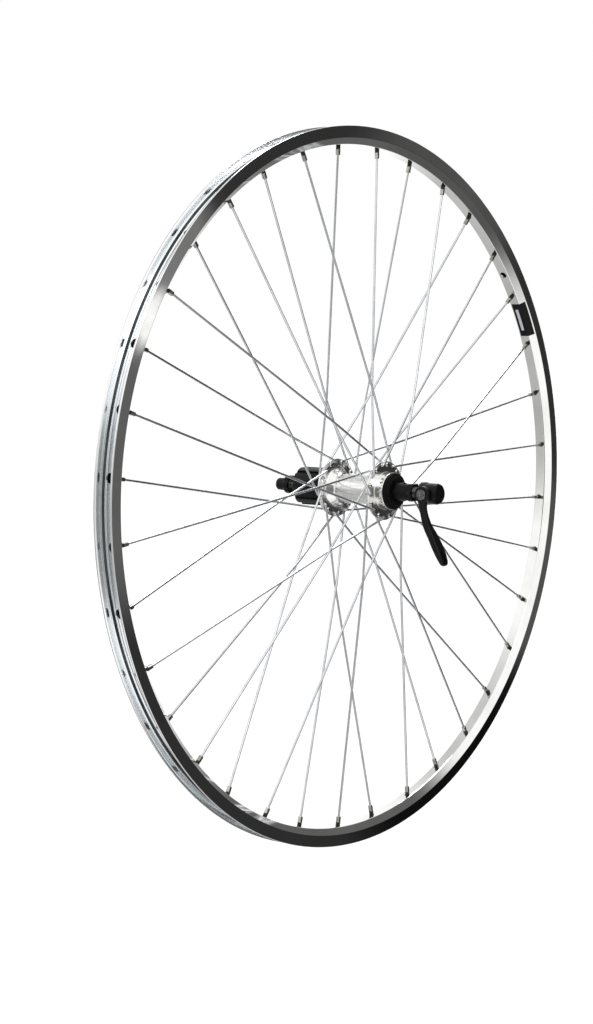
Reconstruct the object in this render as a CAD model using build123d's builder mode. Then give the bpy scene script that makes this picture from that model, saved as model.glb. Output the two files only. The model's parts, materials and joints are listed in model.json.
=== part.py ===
from build123d import *
import os
from math import atan, cos, degrees, radians, sin

# A rear bicycle wheel: a clincher rim laced to a freewheeling hub with a quick-release skewer.
# Millimetres. The wheel's centre is the origin, the axle lies along Y with the drive side at +Y,
# and Z is up. Angles around the wheel are in degrees, from +Z towards +X.

# Rim
BEAD_SEAT_RADIUS = 311.0  # 622 mm bead seat diameter
LIP_HEIGHT = 6.0  # from the bead seat up to the lip's edge
BED_DEPTH = 9.9  # from the bead seat down to the face that the spokes come out of
RIM_WIDTH = 19.84
LIP_BEVEL = 0.6
LIP_WALL = 1.55
HOOK_HEIGHT = 2.4  # from the lip's edge to the foot of its hook
HOOK_DEPTH = 0.65
SEAT_LEDGE = 1.4
WELL_DEPTH = 3.0  # from the bead seat down to the well floor
WELL_HALF_WIDTH = 5.0
BRAKE_TRACK = 10.3
BED_HALF_WIDTH = 5.0
BED_WALL = 1.4
SHOULDER_WALL = 1.5
BRIDGE_WALL = 1.3
ACCESS_HOLE_RADIUS = 4.2
VALVE_HOLE_RADIUS = 3.25
VALVE_PLACE = 4.5  # nipple pitches past the first nipple
HOLE_STAGGER = 1.0  # each nipple hole leans towards its own flange

# Spokes and nipples
SPOKE_COUNT = 36
CROSSINGS = 3
FIRST_NIPPLE_ANGLE = 5.39
SPOKE_RADIUS = 1.0
HEAD_RADIUS = 2.1
HEAD_THICKNESS = 1.0
HEAD_SEAT = 0.1  # clearance between a spoke head and its flange
ELBOW_SEAT = 0.5  # clearance between a spoke and the flange that it lies along
CROSS_GAP = 0.1  # clearance where two spokes pass at the last crossing
NIPPLE_FLAT = 3.25
NIPPLE_CORNER = 0.55
NIPPLE_REACH = 9.5  # length that shows below the spoke bed
NIPPLE_HEAD_RADIUS = 2.9
NIPPLE_HEAD_THICKNESS = 1.5
NIPPLE_LIFT = 0.55  # room for the tilt of a nipple head on the bed
NIPPLE_HOLE_CLEARANCE = 0.4
THREAD_CLEARANCE = 0.06
ROUND_SIDES = 8  # small repeated rounds are drawn with this many flats

# Hub shell
NONDRIVE_FLANGE_Y = -31.2
FLANGE_RADIUS = 26.0
FLANGE_THICKNESS = 2.8
FLANGE_BEVEL_RUN = 2.4  # both edges slope, so that a spoke can lean in over them
FLANGE_BEVEL_DROP = 0.75
FLANGE_MARGIN = 3.0  # from the circle of spoke holes to the flange's edge
SPOKE_HOLE_CLEARANCE = 0.3
FLANGE_NECK_SETBACK = 5.5  # from the circle of spoke holes in to the neck
FLANGE_NECK_LENGTH = 7.0
BARREL_RADIUS = 13.5
BEARING_HOUSING_WALL = 3.4
BEARING_HOUSING_LENGTH = 8.0  # outboard of the non-drive flange
DRIVE_BOSS_SETBACK = 5.0  # from the circle of spoke holes in to the boss
DRIVE_BOSS_LENGTH = 2.2
SHELL_BORE_RADIUS = 8.5
SPIGOT_RADIUS = 10.2
SPIGOT_LENGTH = 11.0
BOLT_THREAD_LENGTH = 9.0

# Bearings
NONDRIVE_BEARING_RADIUS = 13.0
NONDRIVE_BEARING_WIDTH = 8.0
DRIVE_BEARING_RADIUS = 11.0
DRIVE_BEARING_WIDTH = 6.0
RING_WALL = 2.0
SHIELD_WALL = 0.6
SHIELD_GAP = 0.1
BEARING_RECESS = 0.4  # non-drive bearing behind the end of the shell
PRESS_GAP = 0.02

# Axle and what is threaded on it
LOCKNUT_FACE_Y = 65.0  # half of the 130 mm between the dropouts
AXLE_STUB = 5.5  # axle end that stands out of its locknut
AXLE_RADIUS = 5.0
AXLE_SHOULDER_RADIUS = 5.6
AXLE_BORE_RADIUS = 2.75
AXLE_RELIEF_LENGTH = 1.0  # groove where each thread runs out, under its locknut
AXLE_RELIEF_DEPTH = 0.4
LOCKNUT_FLATS = 15.0
LOCKNUT_THICKNESS = 4.5
LOCKNUT_CHAMFER = 0.8
CONE_RADIUS = 8.0
CONE_NOSE_RADIUS = 6.8
CONE_NOSE_LENGTH = 1.2
CONE_FLATS = 14.0
CONE_FLAT_LENGTH = 7.0
DRIVE_CONE_RADIUS = 7.5
DRIVE_CONE_NOSE_LENGTH = 2.0
BOOT_RADIUS = 15.8
BOOT_LIP_RADIUS = 12.2
BOOT_THICKNESS = 4.2
BOOT_RIM_THICKNESS = 2.2
BOOT_GAP = 0.4  # running gap between the boot and the turning shell
THREAD_GAP = 0.05

# Freehub
FREEHUB_CREST_RADIUS = 17.1
FREEHUB_ROOT_RADIUS = 15.8
FREEHUB_LENGTH = 33.6
FREEHUB_GAP = 0.6  # between the shell's boss and the freehub body
FREEHUB_SETBACK = 4.6  # from the drive locknut's face in to the freehub body's end
SPLINES = 9
SPLINE_GROOVE = 5.4
INDEX_GROOVE = 3.2  # one groove is narrower, so that sprockets fit one way only
FREEHUB_COLLAR = 3.0
RATCHET_TEETH = 24
RATCHET_DEPTH = 1.0
RATCHET_RAMP_DROP = 0.33  # a tooth's ramp ends this far inside the bore
RATCHET_START = 3.0
RATCHET_LENGTH = 8.0
LOCKRING_RADIUS = 14.9
LOCKRING_DEPTH = 7.0
CORE_RADIUS = 13.2
CORE_RUNNING_GAP = 0.06
CORE_OVERHANG = 1.2  # the freehub body stands this far past its core
PAWLS = 3
PAWL_LENGTH = 6.0
PAWL_WIDTH = 5.0
PAWL_HEIGHT = 2.0
PAWL_GAP = 0.1
BOLT_RADIUS = 6.8
BOLT_HEAD_RADIUS = 7.9
BOLT_HEAD_LENGTH = 7.0
BOLT_BORE_RADIUS = 5.9
BOLT_HEX = 12.0
DUST_CAP_THICKNESS = 1.4
DUST_CAP_GAP = 0.4

# Quick-release skewer
ROD_RADIUS = 2.5
ROD_END_SETBACK = 1.5  # from the nut's outer end to the rod's end
HOUSING_GAP = 2.0  # from the axle's end to the housing's face
HOUSING_COLLAR_RADIUS = 9.7
HOUSING_COLLAR_LENGTH = 4.5
HOUSING_RADIUS = 9.1
HOUSING_LENGTH = 18.5
HOUSING_END_FILLET = 3.0
HOUSING_BORE_RADIUS = 6.2
HOUSING_END_WALL = 3.0
CAM_SETBACK = 8.5  # from the housing's face out to the pivot
CAM_THROW = 0.75  # eccentricity: the rod is pulled by twice this
CAM_LOBE_RADIUS = 2.9
CAM_JOURNAL_RADIUS = 3.7
CAM_RUNNING_GAP = 0.06
CAM_SLACK = 0.2  # along the rod, between the lobe and the eye
EYE_RADIUS = 5.4
EYE_THICKNESS = 5.0
LOBE_LENGTH = 6.0
CAM_CAP_RADIUS = 4.6
CAM_CAP_THICKNESS = 1.0
BOSS_RADIUS = 7.4
BOSS_THICKNESS = 3.8
BOSS_GAP = 0.4  # between the lever's boss and the housing
NUT_GAP = 3.0  # from the axle's end to the nut's face
NUT_BASE_RADIUS = 8.3
NUT_BASE_LENGTH = 5.0
NUT_GRIP_RADIUS = 5.9
NUT_TIP_RADIUS = 5.4
NUT_LENGTH = 16.0
NUT_SCALLOPS = 6
NUT_SCALLOP_RADIUS = 2.2
NUT_SCALLOP_DEPTH = 0.7
NUT_RECESS_RADIUS = 6.2
NUT_RECESS_DEPTH = 3.4
SPRING_WIRE_RADIUS = 0.35
WIRE_SIDES = 6
SPRING_HEIGHT = 2.4
SPRING_TURNS = 2.5
SPRING_SMALL_RADIUS = 3.2
SPRING_LARGE_RADIUS = 5.6

# The lever's arm, from the boss to the tip
LEVER_DROP = 61.0  # tip below the pivot
LEVER_REACH = 18.6  # tip outboard of the pivot
LEVER_INSET = 7.2  # tip along X, inboard of the boss
LEVER_WIDTH = 12.6  # along X, at the paddle
LEVER_THICKNESS = 9.5  # at the boss
# Each station's shares of those five sizes
LEVER_STATIONS = (
    (0.066, 0.0, 0.0, 0.3, 1.0),
    (0.23, 0.07, 0.0, 0.333, 0.568),
    (0.426, 0.231, 0.167, 0.556, 0.484),
    (0.59, 0.473, 0.472, 0.833, 0.442),
    (0.77, 0.715, 0.75, 1.0, 0.421),
    (0.934, 0.93, 0.944, 0.833, 0.379),
    (1.0, 1.0, 1.0, 0.476, 0.295),
)
LEVER_EDGE_SHARE = 0.42  # corner rounding, as a share of the thinner side

# Places that follow from the sizes above
NIPPLE_PITCH = 360 / SPOKE_COUNT
LACING_ANGLE = 2 * CROSSINGS * NIPPLE_PITCH
RIM_RADIUS = BEAD_SEAT_RADIUS + LIP_HEIGHT
BED_RADIUS = BEAD_SEAT_RADIUS - BED_DEPTH
WELL_RADIUS = BEAD_SEAT_RADIUS - WELL_DEPTH
HOLE_CENTRE_RADIUS = BED_RADIUS + BED_WALL / 2
SPOKE_CIRCLE_RADIUS = FLANGE_RADIUS - FLANGE_MARGIN
FLANGE_NECK_RADIUS = SPOKE_CIRCLE_RADIUS - FLANGE_NECK_SETBACK
DRIVE_BOSS_RADIUS = SPOKE_CIRCLE_RADIUS - DRIVE_BOSS_SETBACK
BEARING_HOUSING_RADIUS = NONDRIVE_BEARING_RADIUS + BEARING_HOUSING_WALL
SHELL_END_Y = NONDRIVE_FLANGE_Y - FLANGE_THICKNESS / 2 - BEARING_HOUSING_LENGTH
FREEHUB_END_Y = LOCKNUT_FACE_Y - FREEHUB_SETBACK
FREEHUB_START_Y = FREEHUB_END_Y - FREEHUB_LENGTH
BOSS_END_Y = FREEHUB_START_Y - FREEHUB_GAP
DRIVE_FLANGE_Y = BOSS_END_Y - DRIVE_BOSS_LENGTH - FLANGE_THICKNESS / 2
SPIGOT_END_Y = BOSS_END_Y - SPIGOT_LENGTH
NONDRIVE_BEARING_Y = SHELL_END_Y + BEARING_RECESS
NONDRIVE_SHOULDER_Y = NONDRIVE_BEARING_Y + NONDRIVE_BEARING_WIDTH
CORE_END_Y = FREEHUB_END_Y - CORE_OVERHANG
DRIVE_BEARING_END_Y = CORE_END_Y - DUST_CAP_THICKNESS - DUST_CAP_GAP
DRIVE_SHOULDER_Y = DRIVE_BEARING_END_Y - DRIVE_BEARING_WIDTH
AXLE_END_Y = LOCKNUT_FACE_Y + AXLE_STUB
LOCKNUT_INNER_Y = LOCKNUT_FACE_Y - LOCKNUT_THICKNESS
BOLT_SEAT_Y = FREEHUB_START_Y
HOUSING_FACE_Y = -AXLE_END_Y - HOUSING_GAP
CAM_PIVOT_Y = HOUSING_FACE_Y - CAM_SETBACK
EYE_CENTRE_Y = CAM_PIVOT_Y + CAM_THROW
HOUSING_END_Y = HOUSING_FACE_Y - HOUSING_LENGTH
BOSS_INNER_X = -HOUSING_COLLAR_RADIUS - BOSS_GAP
BOSS_MIDDLE_X = BOSS_INNER_X - BOSS_THICKNESS / 2
NUT_FACE_Y = AXLE_END_Y + NUT_GAP
NUT_END_Y = NUT_FACE_Y + NUT_LENGTH


def wheel_point(radius, angle, y):
    """The point at a radius, an angle around the wheel and a place along the axle."""
    return Vector(radius * sin(radians(angle)), y, radius * cos(radians(angle)))


def outline(*points):
    """A closed outline of straight sides, as (radius, place along the axle)."""
    with BuildSketch(Plane.XY) as drawn:
        with BuildLine():
            Polyline(*points, close=True)
        make_face()
    return drawn.sketch


def ring_outline(inner, outer, start, end):
    """The section of a plain ring or sleeve."""
    return outline((inner, start), (outer, start), (outer, end), (inner, end))


def radial_plane(radius, index, stagger):
    """A plane across the rim at a nipple's angle, facing outwards."""
    angle = FIRST_NIPPLE_ANGLE + NIPPLE_PITCH * index
    return Plane(wheel_point(radius, angle, stagger), x_dir=(0, 1, 0), z_dir=wheel_point(1, angle, 0))


def side_of(index):
    """The side that a spoke runs to, -1 or +1 along Y, and its flange's place."""
    if index % 2 == 0:
        return -1, NONDRIVE_FLANGE_Y
    return 1, DRIVE_FLANGE_Y


# Rim: half of the section is drawn from the spoke bed out to the lip and back to the well
half_width = RIM_WIDTH / 2
lip_inside = half_width - LIP_WALL
shoulder_radius = RIM_RADIUS - BRAKE_TRACK
half_section = (
    (BED_RADIUS, BED_HALF_WIDTH),
    (shoulder_radius, half_width),
    (RIM_RADIUS - LIP_BEVEL, half_width),
    (RIM_RADIUS, half_width - LIP_BEVEL),
    (RIM_RADIUS, lip_inside),
    (RIM_RADIUS - HOOK_HEIGHT / 2, lip_inside - HOOK_DEPTH),
    (RIM_RADIUS - HOOK_HEIGHT, lip_inside),
    (BEAD_SEAT_RADIUS, lip_inside),
    (BEAD_SEAT_RADIUS, lip_inside - SEAT_LEDGE),
    (WELL_RADIUS, WELL_HALF_WIDTH),
)
chamber_floor = BED_RADIUS + BED_WALL
chamber_roof = WELL_RADIUS - BRIDGE_WALL
shoulder_slope = (half_width - BED_HALF_WIDTH) / (shoulder_radius - BED_RADIUS)
wall_inset = SHOULDER_WALL / cos(atan(shoulder_slope))


def chamber_half_width(radius):
    """Half of the hollow between the rim's two walls, at a radius."""
    return BED_HALF_WIDTH + shoulder_slope * (radius - BED_RADIUS) - wall_inset


with BuildPart() as rim:
    far_side = [(radius, -y) for radius, y in reversed(half_section)]
    revolve(outline(*half_section, *far_side), axis=Axis.Y)
    floor_width = chamber_half_width(chamber_floor)
    roof_width = chamber_half_width(chamber_roof)
    chamber = outline(
        (chamber_floor, -floor_width),
        (chamber_roof, -roof_width),
        (chamber_roof, roof_width),
        (chamber_floor, floor_width),
    )
    revolve(chamber, axis=Axis.Y, mode=Mode.SUBTRACT)
    drill_length = (WELL_RADIUS - BED_RADIUS) / 2
    staggers = [HOLE_STAGGER * side_of(index)[0] for index in range(SPOKE_COUNT)]
    middle_radius = BED_RADIUS + drill_length
    drills = [radial_plane(middle_radius, index, y) for index, y in enumerate(staggers)]
    with BuildSketch(*drills):
        hole_radius = NIPPLE_FLAT / 2 + NIPPLE_CORNER / 2 + NIPPLE_HOLE_CLEARANCE
        RegularPolygon(hole_radius, ROUND_SIDES, major_radius=False)
    extrude(amount=-2 * drill_length, mode=Mode.SUBTRACT)
    with BuildSketch(*drills):
        RegularPolygon(ACCESS_HOLE_RADIUS, ROUND_SIDES, major_radius=False)
    extrude(amount=2 * drill_length, mode=Mode.SUBTRACT)
    with BuildSketch(radial_plane(middle_radius, VALVE_PLACE, 0)):
        Circle(VALVE_HOLE_RADIUS)
    extrude(amount=2 * drill_length, both=True, mode=Mode.SUBTRACT)


# Spokes and nipples
def last_crossing_radius():
    """Where a spoke passes its last neighbour, on the line from its flange hole to its nipple hole."""
    share = sin(radians(LACING_ANGLE - NIPPLE_PITCH)) / HOLE_CENTRE_RADIUS
    share += sin(radians(NIPPLE_PITCH)) / SPOKE_CIRCLE_RADIUS
    return sin(radians(LACING_ANGLE)) / share


def spoke_lay(index):
    """A spoke's turn from its nipple to its flange hole, and the flange face that it lies along.

    Pulling spokes lie along the flange's outer face, pushing spokes along its inner face.
    """
    side = side_of(index)[0]
    if index % 4 in (0, 3):
        return -1, side
    return 1, -side


def spoke_corners(index):
    """The centre line's corners: head, elbow, last crossing and the middle of the nipple hole."""
    side, flange_y = side_of(index)
    turn, face = spoke_lay(index)
    rim_angle = FIRST_NIPPLE_ANGLE + NIPPLE_PITCH * index
    hub_angle = rim_angle + turn * LACING_ANGLE
    head_y = flange_y - face * (FLANGE_THICKNESS / 2 + HEAD_SEAT + HEAD_THICKNESS)
    elbow_y = flange_y + face * (FLANGE_THICKNESS / 2 + ELBOW_SEAT + SPOKE_RADIUS)
    hub_hole = wheel_point(SPOKE_CIRCLE_RADIUS, hub_angle, flange_y)
    rim_hole = wheel_point(HOLE_CENTRE_RADIUS, rim_angle, side * HOLE_STAGGER)
    cross = wheel_point(last_crossing_radius(), rim_angle + turn * NIPPLE_PITCH, 0)
    along = (cross.X - hub_hole.X) / (rim_hole.X - hub_hole.X)
    cross_y = flange_y + along * (rim_hole.Y - flange_y) - face * (SPOKE_RADIUS + CROSS_GAP / 2)
    return (
        wheel_point(SPOKE_CIRCLE_RADIUS, hub_angle, head_y),
        wheel_point(SPOKE_CIRCLE_RADIUS, hub_angle, elbow_y),
        Vector(cross.X, cross_y, cross.Z),
        rim_hole,
    )


def nipple_plane(index):
    """The plane across a nipple in its rim hole, facing out along its spoke."""
    cross, rim_hole = spoke_corners(index)[2:]
    return Plane(rim_hole, x_dir=Vector(0, 1, 0).cross(rim_hole - cross), z_dir=rim_hole - cross)


def laced_spoke(index):
    """One bent wire: head, elbow through the flange, a slight bend at the last crossing, threaded end."""
    head, elbow, cross, rim_hole = spoke_corners(index)
    along_nipple = nipple_plane(index).z_dir
    threaded_end = rim_hole + along_nipple * (BED_WALL / 2 + NIPPLE_LIFT + NIPPLE_HEAD_THICKNESS / 2)
    with BuildPart() as spoke:
        with BuildLine() as wire:
            Polyline(head, elbow, cross, threaded_end)
        with BuildSketch(Plane(head, x_dir=head - wheel_point(0, 0, head.Y), z_dir=elbow - head)):
            RegularPolygon(SPOKE_RADIUS, ROUND_SIDES)
        sweep(path=wire.line, transition=Transition.RIGHT)
        with BuildSketch(Plane(head, x_dir=head - wheel_point(0, 0, head.Y), z_dir=elbow - head)):
            RegularPolygon(HEAD_RADIUS, ROUND_SIDES)
        extrude(amount=HEAD_THICKNESS)
    return spoke.part


def seated_nipple(index):
    """A nipple with four spanner flats below the spoke bed and a round head inside the rim."""
    across = nipple_plane(index)
    shank_top = BED_WALL / 2 + NIPPLE_LIFT
    with BuildPart() as nipple:
        with BuildSketch(across.offset(-NIPPLE_REACH)) as shank:
            Rectangle(NIPPLE_FLAT, NIPPLE_FLAT)
            chamfer(shank.vertices(), length=NIPPLE_CORNER)
        extrude(amount=NIPPLE_REACH + shank_top)
        with BuildSketch(across.offset(shank_top)):
            RegularPolygon(NIPPLE_HEAD_RADIUS, ROUND_SIDES)
        extrude(amount=NIPPLE_HEAD_THICKNESS)
        with BuildSketch(across.offset(-NIPPLE_REACH)):
            RegularPolygon(SPOKE_RADIUS + THREAD_CLEARANCE, ROUND_SIDES, major_radius=False)
        extrude(amount=NIPPLE_REACH + shank_top + NIPPLE_HEAD_THICKNESS, mode=Mode.SUBTRACT)
    return nipple.part


def around_wheel(*pieces):
    """Copies of the given pieces all round the wheel, one for every fourth nipple hole."""
    copies = []
    for place in range(SPOKE_COUNT // 4):
        copies += [piece.rotate(Axis.Y, 4 * NIPPLE_PITCH * place) for piece in pieces]
    return copies


with BuildPart() as nondrive_pulling_spokes:
    add(around_wheel(laced_spoke(0)))
with BuildPart() as drive_pushing_spokes:
    add(around_wheel(laced_spoke(1)))
with BuildPart() as nondrive_pushing_spokes:
    add(around_wheel(laced_spoke(2)))
with BuildPart() as drive_pulling_spokes:
    add(around_wheel(laced_spoke(3)))
with BuildPart() as nondrive_nipples:
    add(around_wheel(seated_nipple(0), seated_nipple(2)))
with BuildPart() as drive_nipples:
    add(around_wheel(seated_nipple(1), seated_nipple(3)))


# Hub shell, turned in one piece, with eighteen spoke holes in each flange
def flange_outline(flange_y):
    """A flange's section outside its neck, with both edges bevelled."""
    half = FLANGE_THICKNESS / 2
    return (
        (FLANGE_RADIUS - FLANGE_BEVEL_RUN, flange_y - half),
        (FLANGE_RADIUS, flange_y - half + FLANGE_BEVEL_DROP),
        (FLANGE_RADIUS, flange_y + half - FLANGE_BEVEL_DROP),
        (FLANGE_RADIUS - FLANGE_BEVEL_RUN, flange_y + half),
    )


with BuildPart() as hub_shell:
    half_flange = FLANGE_THICKNESS / 2
    revolve(
        outline(
            (NONDRIVE_BEARING_RADIUS + PRESS_GAP, SHELL_END_Y),
            (BEARING_HOUSING_RADIUS, SHELL_END_Y),
            (BEARING_HOUSING_RADIUS, NONDRIVE_FLANGE_Y - half_flange),
            *flange_outline(NONDRIVE_FLANGE_Y),
            (FLANGE_NECK_RADIUS, NONDRIVE_FLANGE_Y + half_flange),
            (BARREL_RADIUS, NONDRIVE_FLANGE_Y + half_flange + FLANGE_NECK_LENGTH),
            (BARREL_RADIUS, DRIVE_FLANGE_Y - half_flange - FLANGE_NECK_LENGTH),
            (FLANGE_NECK_RADIUS, DRIVE_FLANGE_Y - half_flange),
            *flange_outline(DRIVE_FLANGE_Y),
            (DRIVE_BOSS_RADIUS, DRIVE_FLANGE_Y + half_flange),
            (DRIVE_BOSS_RADIUS, BOSS_END_Y),
            (SPIGOT_RADIUS + PRESS_GAP, BOSS_END_Y),
            (SPIGOT_RADIUS + PRESS_GAP, SPIGOT_END_Y),
            (BOLT_RADIUS + PRESS_GAP, SPIGOT_END_Y),
            (BOLT_RADIUS + PRESS_GAP, SPIGOT_END_Y - BOLT_THREAD_LENGTH),
            (SHELL_BORE_RADIUS, SPIGOT_END_Y - BOLT_THREAD_LENGTH),
            (SHELL_BORE_RADIUS, NONDRIVE_SHOULDER_Y),
            (NONDRIVE_BEARING_RADIUS + PRESS_GAP, NONDRIVE_SHOULDER_Y),
        ),
        axis=Axis.Y,
    )
    for index in (0, 1):
        flange_y = side_of(index)[1]
        hub_angle = FIRST_NIPPLE_ANGLE + NIPPLE_PITCH * index + spoke_lay(index)[0] * LACING_ANGLE
        with BuildSketch(Plane.XZ.offset(-flange_y)):
            with PolarLocations(SPOKE_CIRCLE_RADIUS, SPOKE_COUNT // 2, start_angle=90 - hub_angle):
                RegularPolygon(SPOKE_RADIUS + SPOKE_HOLE_CLEARANCE, ROUND_SIDES, major_radius=False)
        extrude(amount=FLANGE_THICKNESS, both=True, mode=Mode.SUBTRACT)


# Sealed bearings: the outer ring carries both shields, the inner ring turns inside them
def outer_ring_outline(radius, start, width):
    """A bearing's outer ring with a shield at each face, reaching in to the inner ring."""
    end = start + width
    shield_edge = AXLE_RADIUS + RING_WALL + SHIELD_GAP
    return outline(
        (shield_edge, start),
        (radius, start),
        (radius, end),
        (shield_edge, end),
        (shield_edge, end - SHIELD_WALL),
        (radius - RING_WALL, end - SHIELD_WALL),
        (radius - RING_WALL, start + SHIELD_WALL),
        (shield_edge, start + SHIELD_WALL),
    )


def inner_ring_outline(start, width):
    """A bearing's inner ring on the axle."""
    return ring_outline(AXLE_RADIUS + PRESS_GAP, AXLE_RADIUS + RING_WALL, start, start + width)


with BuildPart() as nondrive_outer_ring:
    ring = outer_ring_outline(NONDRIVE_BEARING_RADIUS, NONDRIVE_BEARING_Y, NONDRIVE_BEARING_WIDTH)
    revolve(ring, axis=Axis.Y)
with BuildPart() as nondrive_inner_ring:
    revolve(inner_ring_outline(NONDRIVE_BEARING_Y, NONDRIVE_BEARING_WIDTH), axis=Axis.Y)
with BuildPart() as drive_outer_ring:
    ring = outer_ring_outline(DRIVE_BEARING_RADIUS, DRIVE_SHOULDER_Y, DRIVE_BEARING_WIDTH)
    revolve(ring, axis=Axis.Y)
with BuildPart() as drive_inner_ring:
    revolve(inner_ring_outline(DRIVE_SHOULDER_Y, DRIVE_BEARING_WIDTH), axis=Axis.Y)


# Axle: hollow, thicker between the bearings, so that each inner ring stands against a shoulder
def relief_outline(side):
    """The section of the groove under a locknut's outer face, from the wheel outwards."""
    groove_radius = AXLE_RADIUS - AXLE_RELIEF_DEPTH
    inner_y = side * (LOCKNUT_FACE_Y - AXLE_RELIEF_LENGTH)
    outer_y = side * LOCKNUT_FACE_Y
    return (
        (AXLE_RADIUS, inner_y),
        (groove_radius, inner_y),
        (groove_radius, outer_y),
        (AXLE_RADIUS, outer_y),
    )


with BuildPart() as axle:
    revolve(
        outline(
            (AXLE_BORE_RADIUS, -AXLE_END_Y),
            (AXLE_RADIUS, -AXLE_END_Y),
            *reversed(relief_outline(-1)),
            (AXLE_RADIUS, NONDRIVE_SHOULDER_Y),
            (AXLE_SHOULDER_RADIUS, NONDRIVE_SHOULDER_Y),
            (AXLE_SHOULDER_RADIUS, DRIVE_SHOULDER_Y),
            (AXLE_RADIUS, DRIVE_SHOULDER_Y),
            *relief_outline(1),
            (AXLE_RADIUS, AXLE_END_Y),
            (AXLE_BORE_RADIUS, AXLE_END_Y),
        ),
        axis=Axis.Y,
    )

# Cones: sleeves that clamp the inner rings; the non-drive one has two spanner flats
bore = AXLE_RADIUS + THREAD_GAP
with BuildPart() as nondrive_cone:
    nose_end = NONDRIVE_BEARING_Y - CONE_NOSE_LENGTH
    revolve(
        outline(
            (bore, NONDRIVE_BEARING_Y),
            (CONE_NOSE_RADIUS, NONDRIVE_BEARING_Y),
            (CONE_NOSE_RADIUS, nose_end),
            (CONE_RADIUS, nose_end),
            (CONE_RADIUS, -LOCKNUT_INNER_Y),
            (bore, -LOCKNUT_INNER_Y),
        ),
        axis=Axis.Y,
    )
    with BuildSketch(Plane.XZ.offset(LOCKNUT_INNER_Y)):
        Circle(CONE_RADIUS)
        Rectangle(2 * CONE_RADIUS, CONE_FLATS, mode=Mode.SUBTRACT)
    extrude(amount=-CONE_FLAT_LENGTH, mode=Mode.SUBTRACT)
with BuildPart() as drive_cone:
    nose_end = DRIVE_BEARING_END_Y + DRIVE_CONE_NOSE_LENGTH
    revolve(
        outline(
            (bore, DRIVE_BEARING_END_Y),
            (CONE_NOSE_RADIUS, DRIVE_BEARING_END_Y),
            (CONE_NOSE_RADIUS, nose_end),
            (DRIVE_CONE_RADIUS, nose_end),
            (DRIVE_CONE_RADIUS, LOCKNUT_INNER_Y),
            (bore, LOCKNUT_INNER_Y),
        ),
        axis=Axis.Y,
    )


def hexagon_nut(inner_plane):
    """A locknut that stands on a plane, with its outer corners chamfered."""
    with BuildPart() as nut:
        with BuildSketch(inner_plane):
            RegularPolygon(LOCKNUT_FLATS / 2, 6, major_radius=False)
            Circle(AXLE_RADIUS + THREAD_GAP, mode=Mode.SUBTRACT)
        extrude(amount=LOCKNUT_THICKNESS)
        outer_face = nut.faces().filter_by(Axis.Y).sort_by(Axis((0, 0, 0), inner_plane.z_dir))[-1]
        chamfer(outer_face.outer_wire().edges(), length=LOCKNUT_CHAMFER)
    return nut.part


with BuildPart() as nondrive_locknut:
    add(hexagon_nut(Plane.XZ.offset(LOCKNUT_INNER_Y)))
with BuildPart() as drive_locknut:
    add(hexagon_nut(Plane.ZX.offset(LOCKNUT_INNER_Y)))

# Dust boot: a rubber disc on the non-drive cone, just clear of the turning shell
with BuildPart() as dust_boot:
    boot_inner = SHELL_END_Y - BOOT_GAP
    boot_bore = CONE_RADIUS + PRESS_GAP
    revolve(
        outline(
            (boot_bore, boot_inner),
            (BOOT_RADIUS, boot_inner),
            (BOOT_RADIUS, boot_inner - BOOT_RIM_THICKNESS),
            (BOOT_LIP_RADIUS, boot_inner - BOOT_THICKNESS),
            (boot_bore, boot_inner - BOOT_THICKNESS),
        ),
        axis=Axis.Y,
    )


# Freehub: a splined body that runs on a core, which a hollow bolt holds to the shell
pawl_middle_y = FREEHUB_START_Y + RATCHET_START + RATCHET_LENGTH / 2


def pawl_floors():
    """The planes of the core's pawl pockets, facing outwards."""
    floor_radius = CORE_RADIUS - PAWL_HEIGHT - PAWL_GAP
    floors = []
    for place in range(PAWLS):
        angle = 360 / PAWLS * place
        middle = wheel_point(floor_radius, angle, pawl_middle_y)
        floors.append(Plane(middle, x_dir=(0, 1, 0), z_dir=wheel_point(1, angle, 0)))
    return floors


with BuildPart() as freehub_core:
    core_bore = BOLT_HEAD_RADIUS + PRESS_GAP
    revolve(
        outline(
            (BOLT_RADIUS + PRESS_GAP, SPIGOT_END_Y),
            (SPIGOT_RADIUS, SPIGOT_END_Y),
            (SPIGOT_RADIUS, BOSS_END_Y),
            (CORE_RADIUS, BOSS_END_Y),
            (CORE_RADIUS, CORE_END_Y),
            (DRIVE_BEARING_RADIUS + PRESS_GAP, CORE_END_Y),
            (DRIVE_BEARING_RADIUS + PRESS_GAP, DRIVE_SHOULDER_Y),
            (core_bore, DRIVE_SHOULDER_Y),
            (core_bore, BOLT_SEAT_Y),
            (BOLT_RADIUS + PRESS_GAP, BOLT_SEAT_Y),
        ),
        axis=Axis.Y,
    )
    with BuildSketch(*pawl_floors()):
        Rectangle(PAWL_WIDTH + 2 * PAWL_GAP, PAWL_LENGTH + 2 * PAWL_GAP)
    extrude(amount=2 * PAWL_HEIGHT, mode=Mode.SUBTRACT)

with BuildPart() as pawls:
    with BuildSketch(*pawl_floors()):
        Rectangle(PAWL_WIDTH, PAWL_LENGTH)
    extrude(amount=PAWL_HEIGHT)
    with BuildSketch(Plane.XZ.offset(-pawl_middle_y)):
        Circle(CORE_RADIUS)
    extrude(amount=PAWL_WIDTH, both=True, mode=Mode.INTERSECT)

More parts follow.
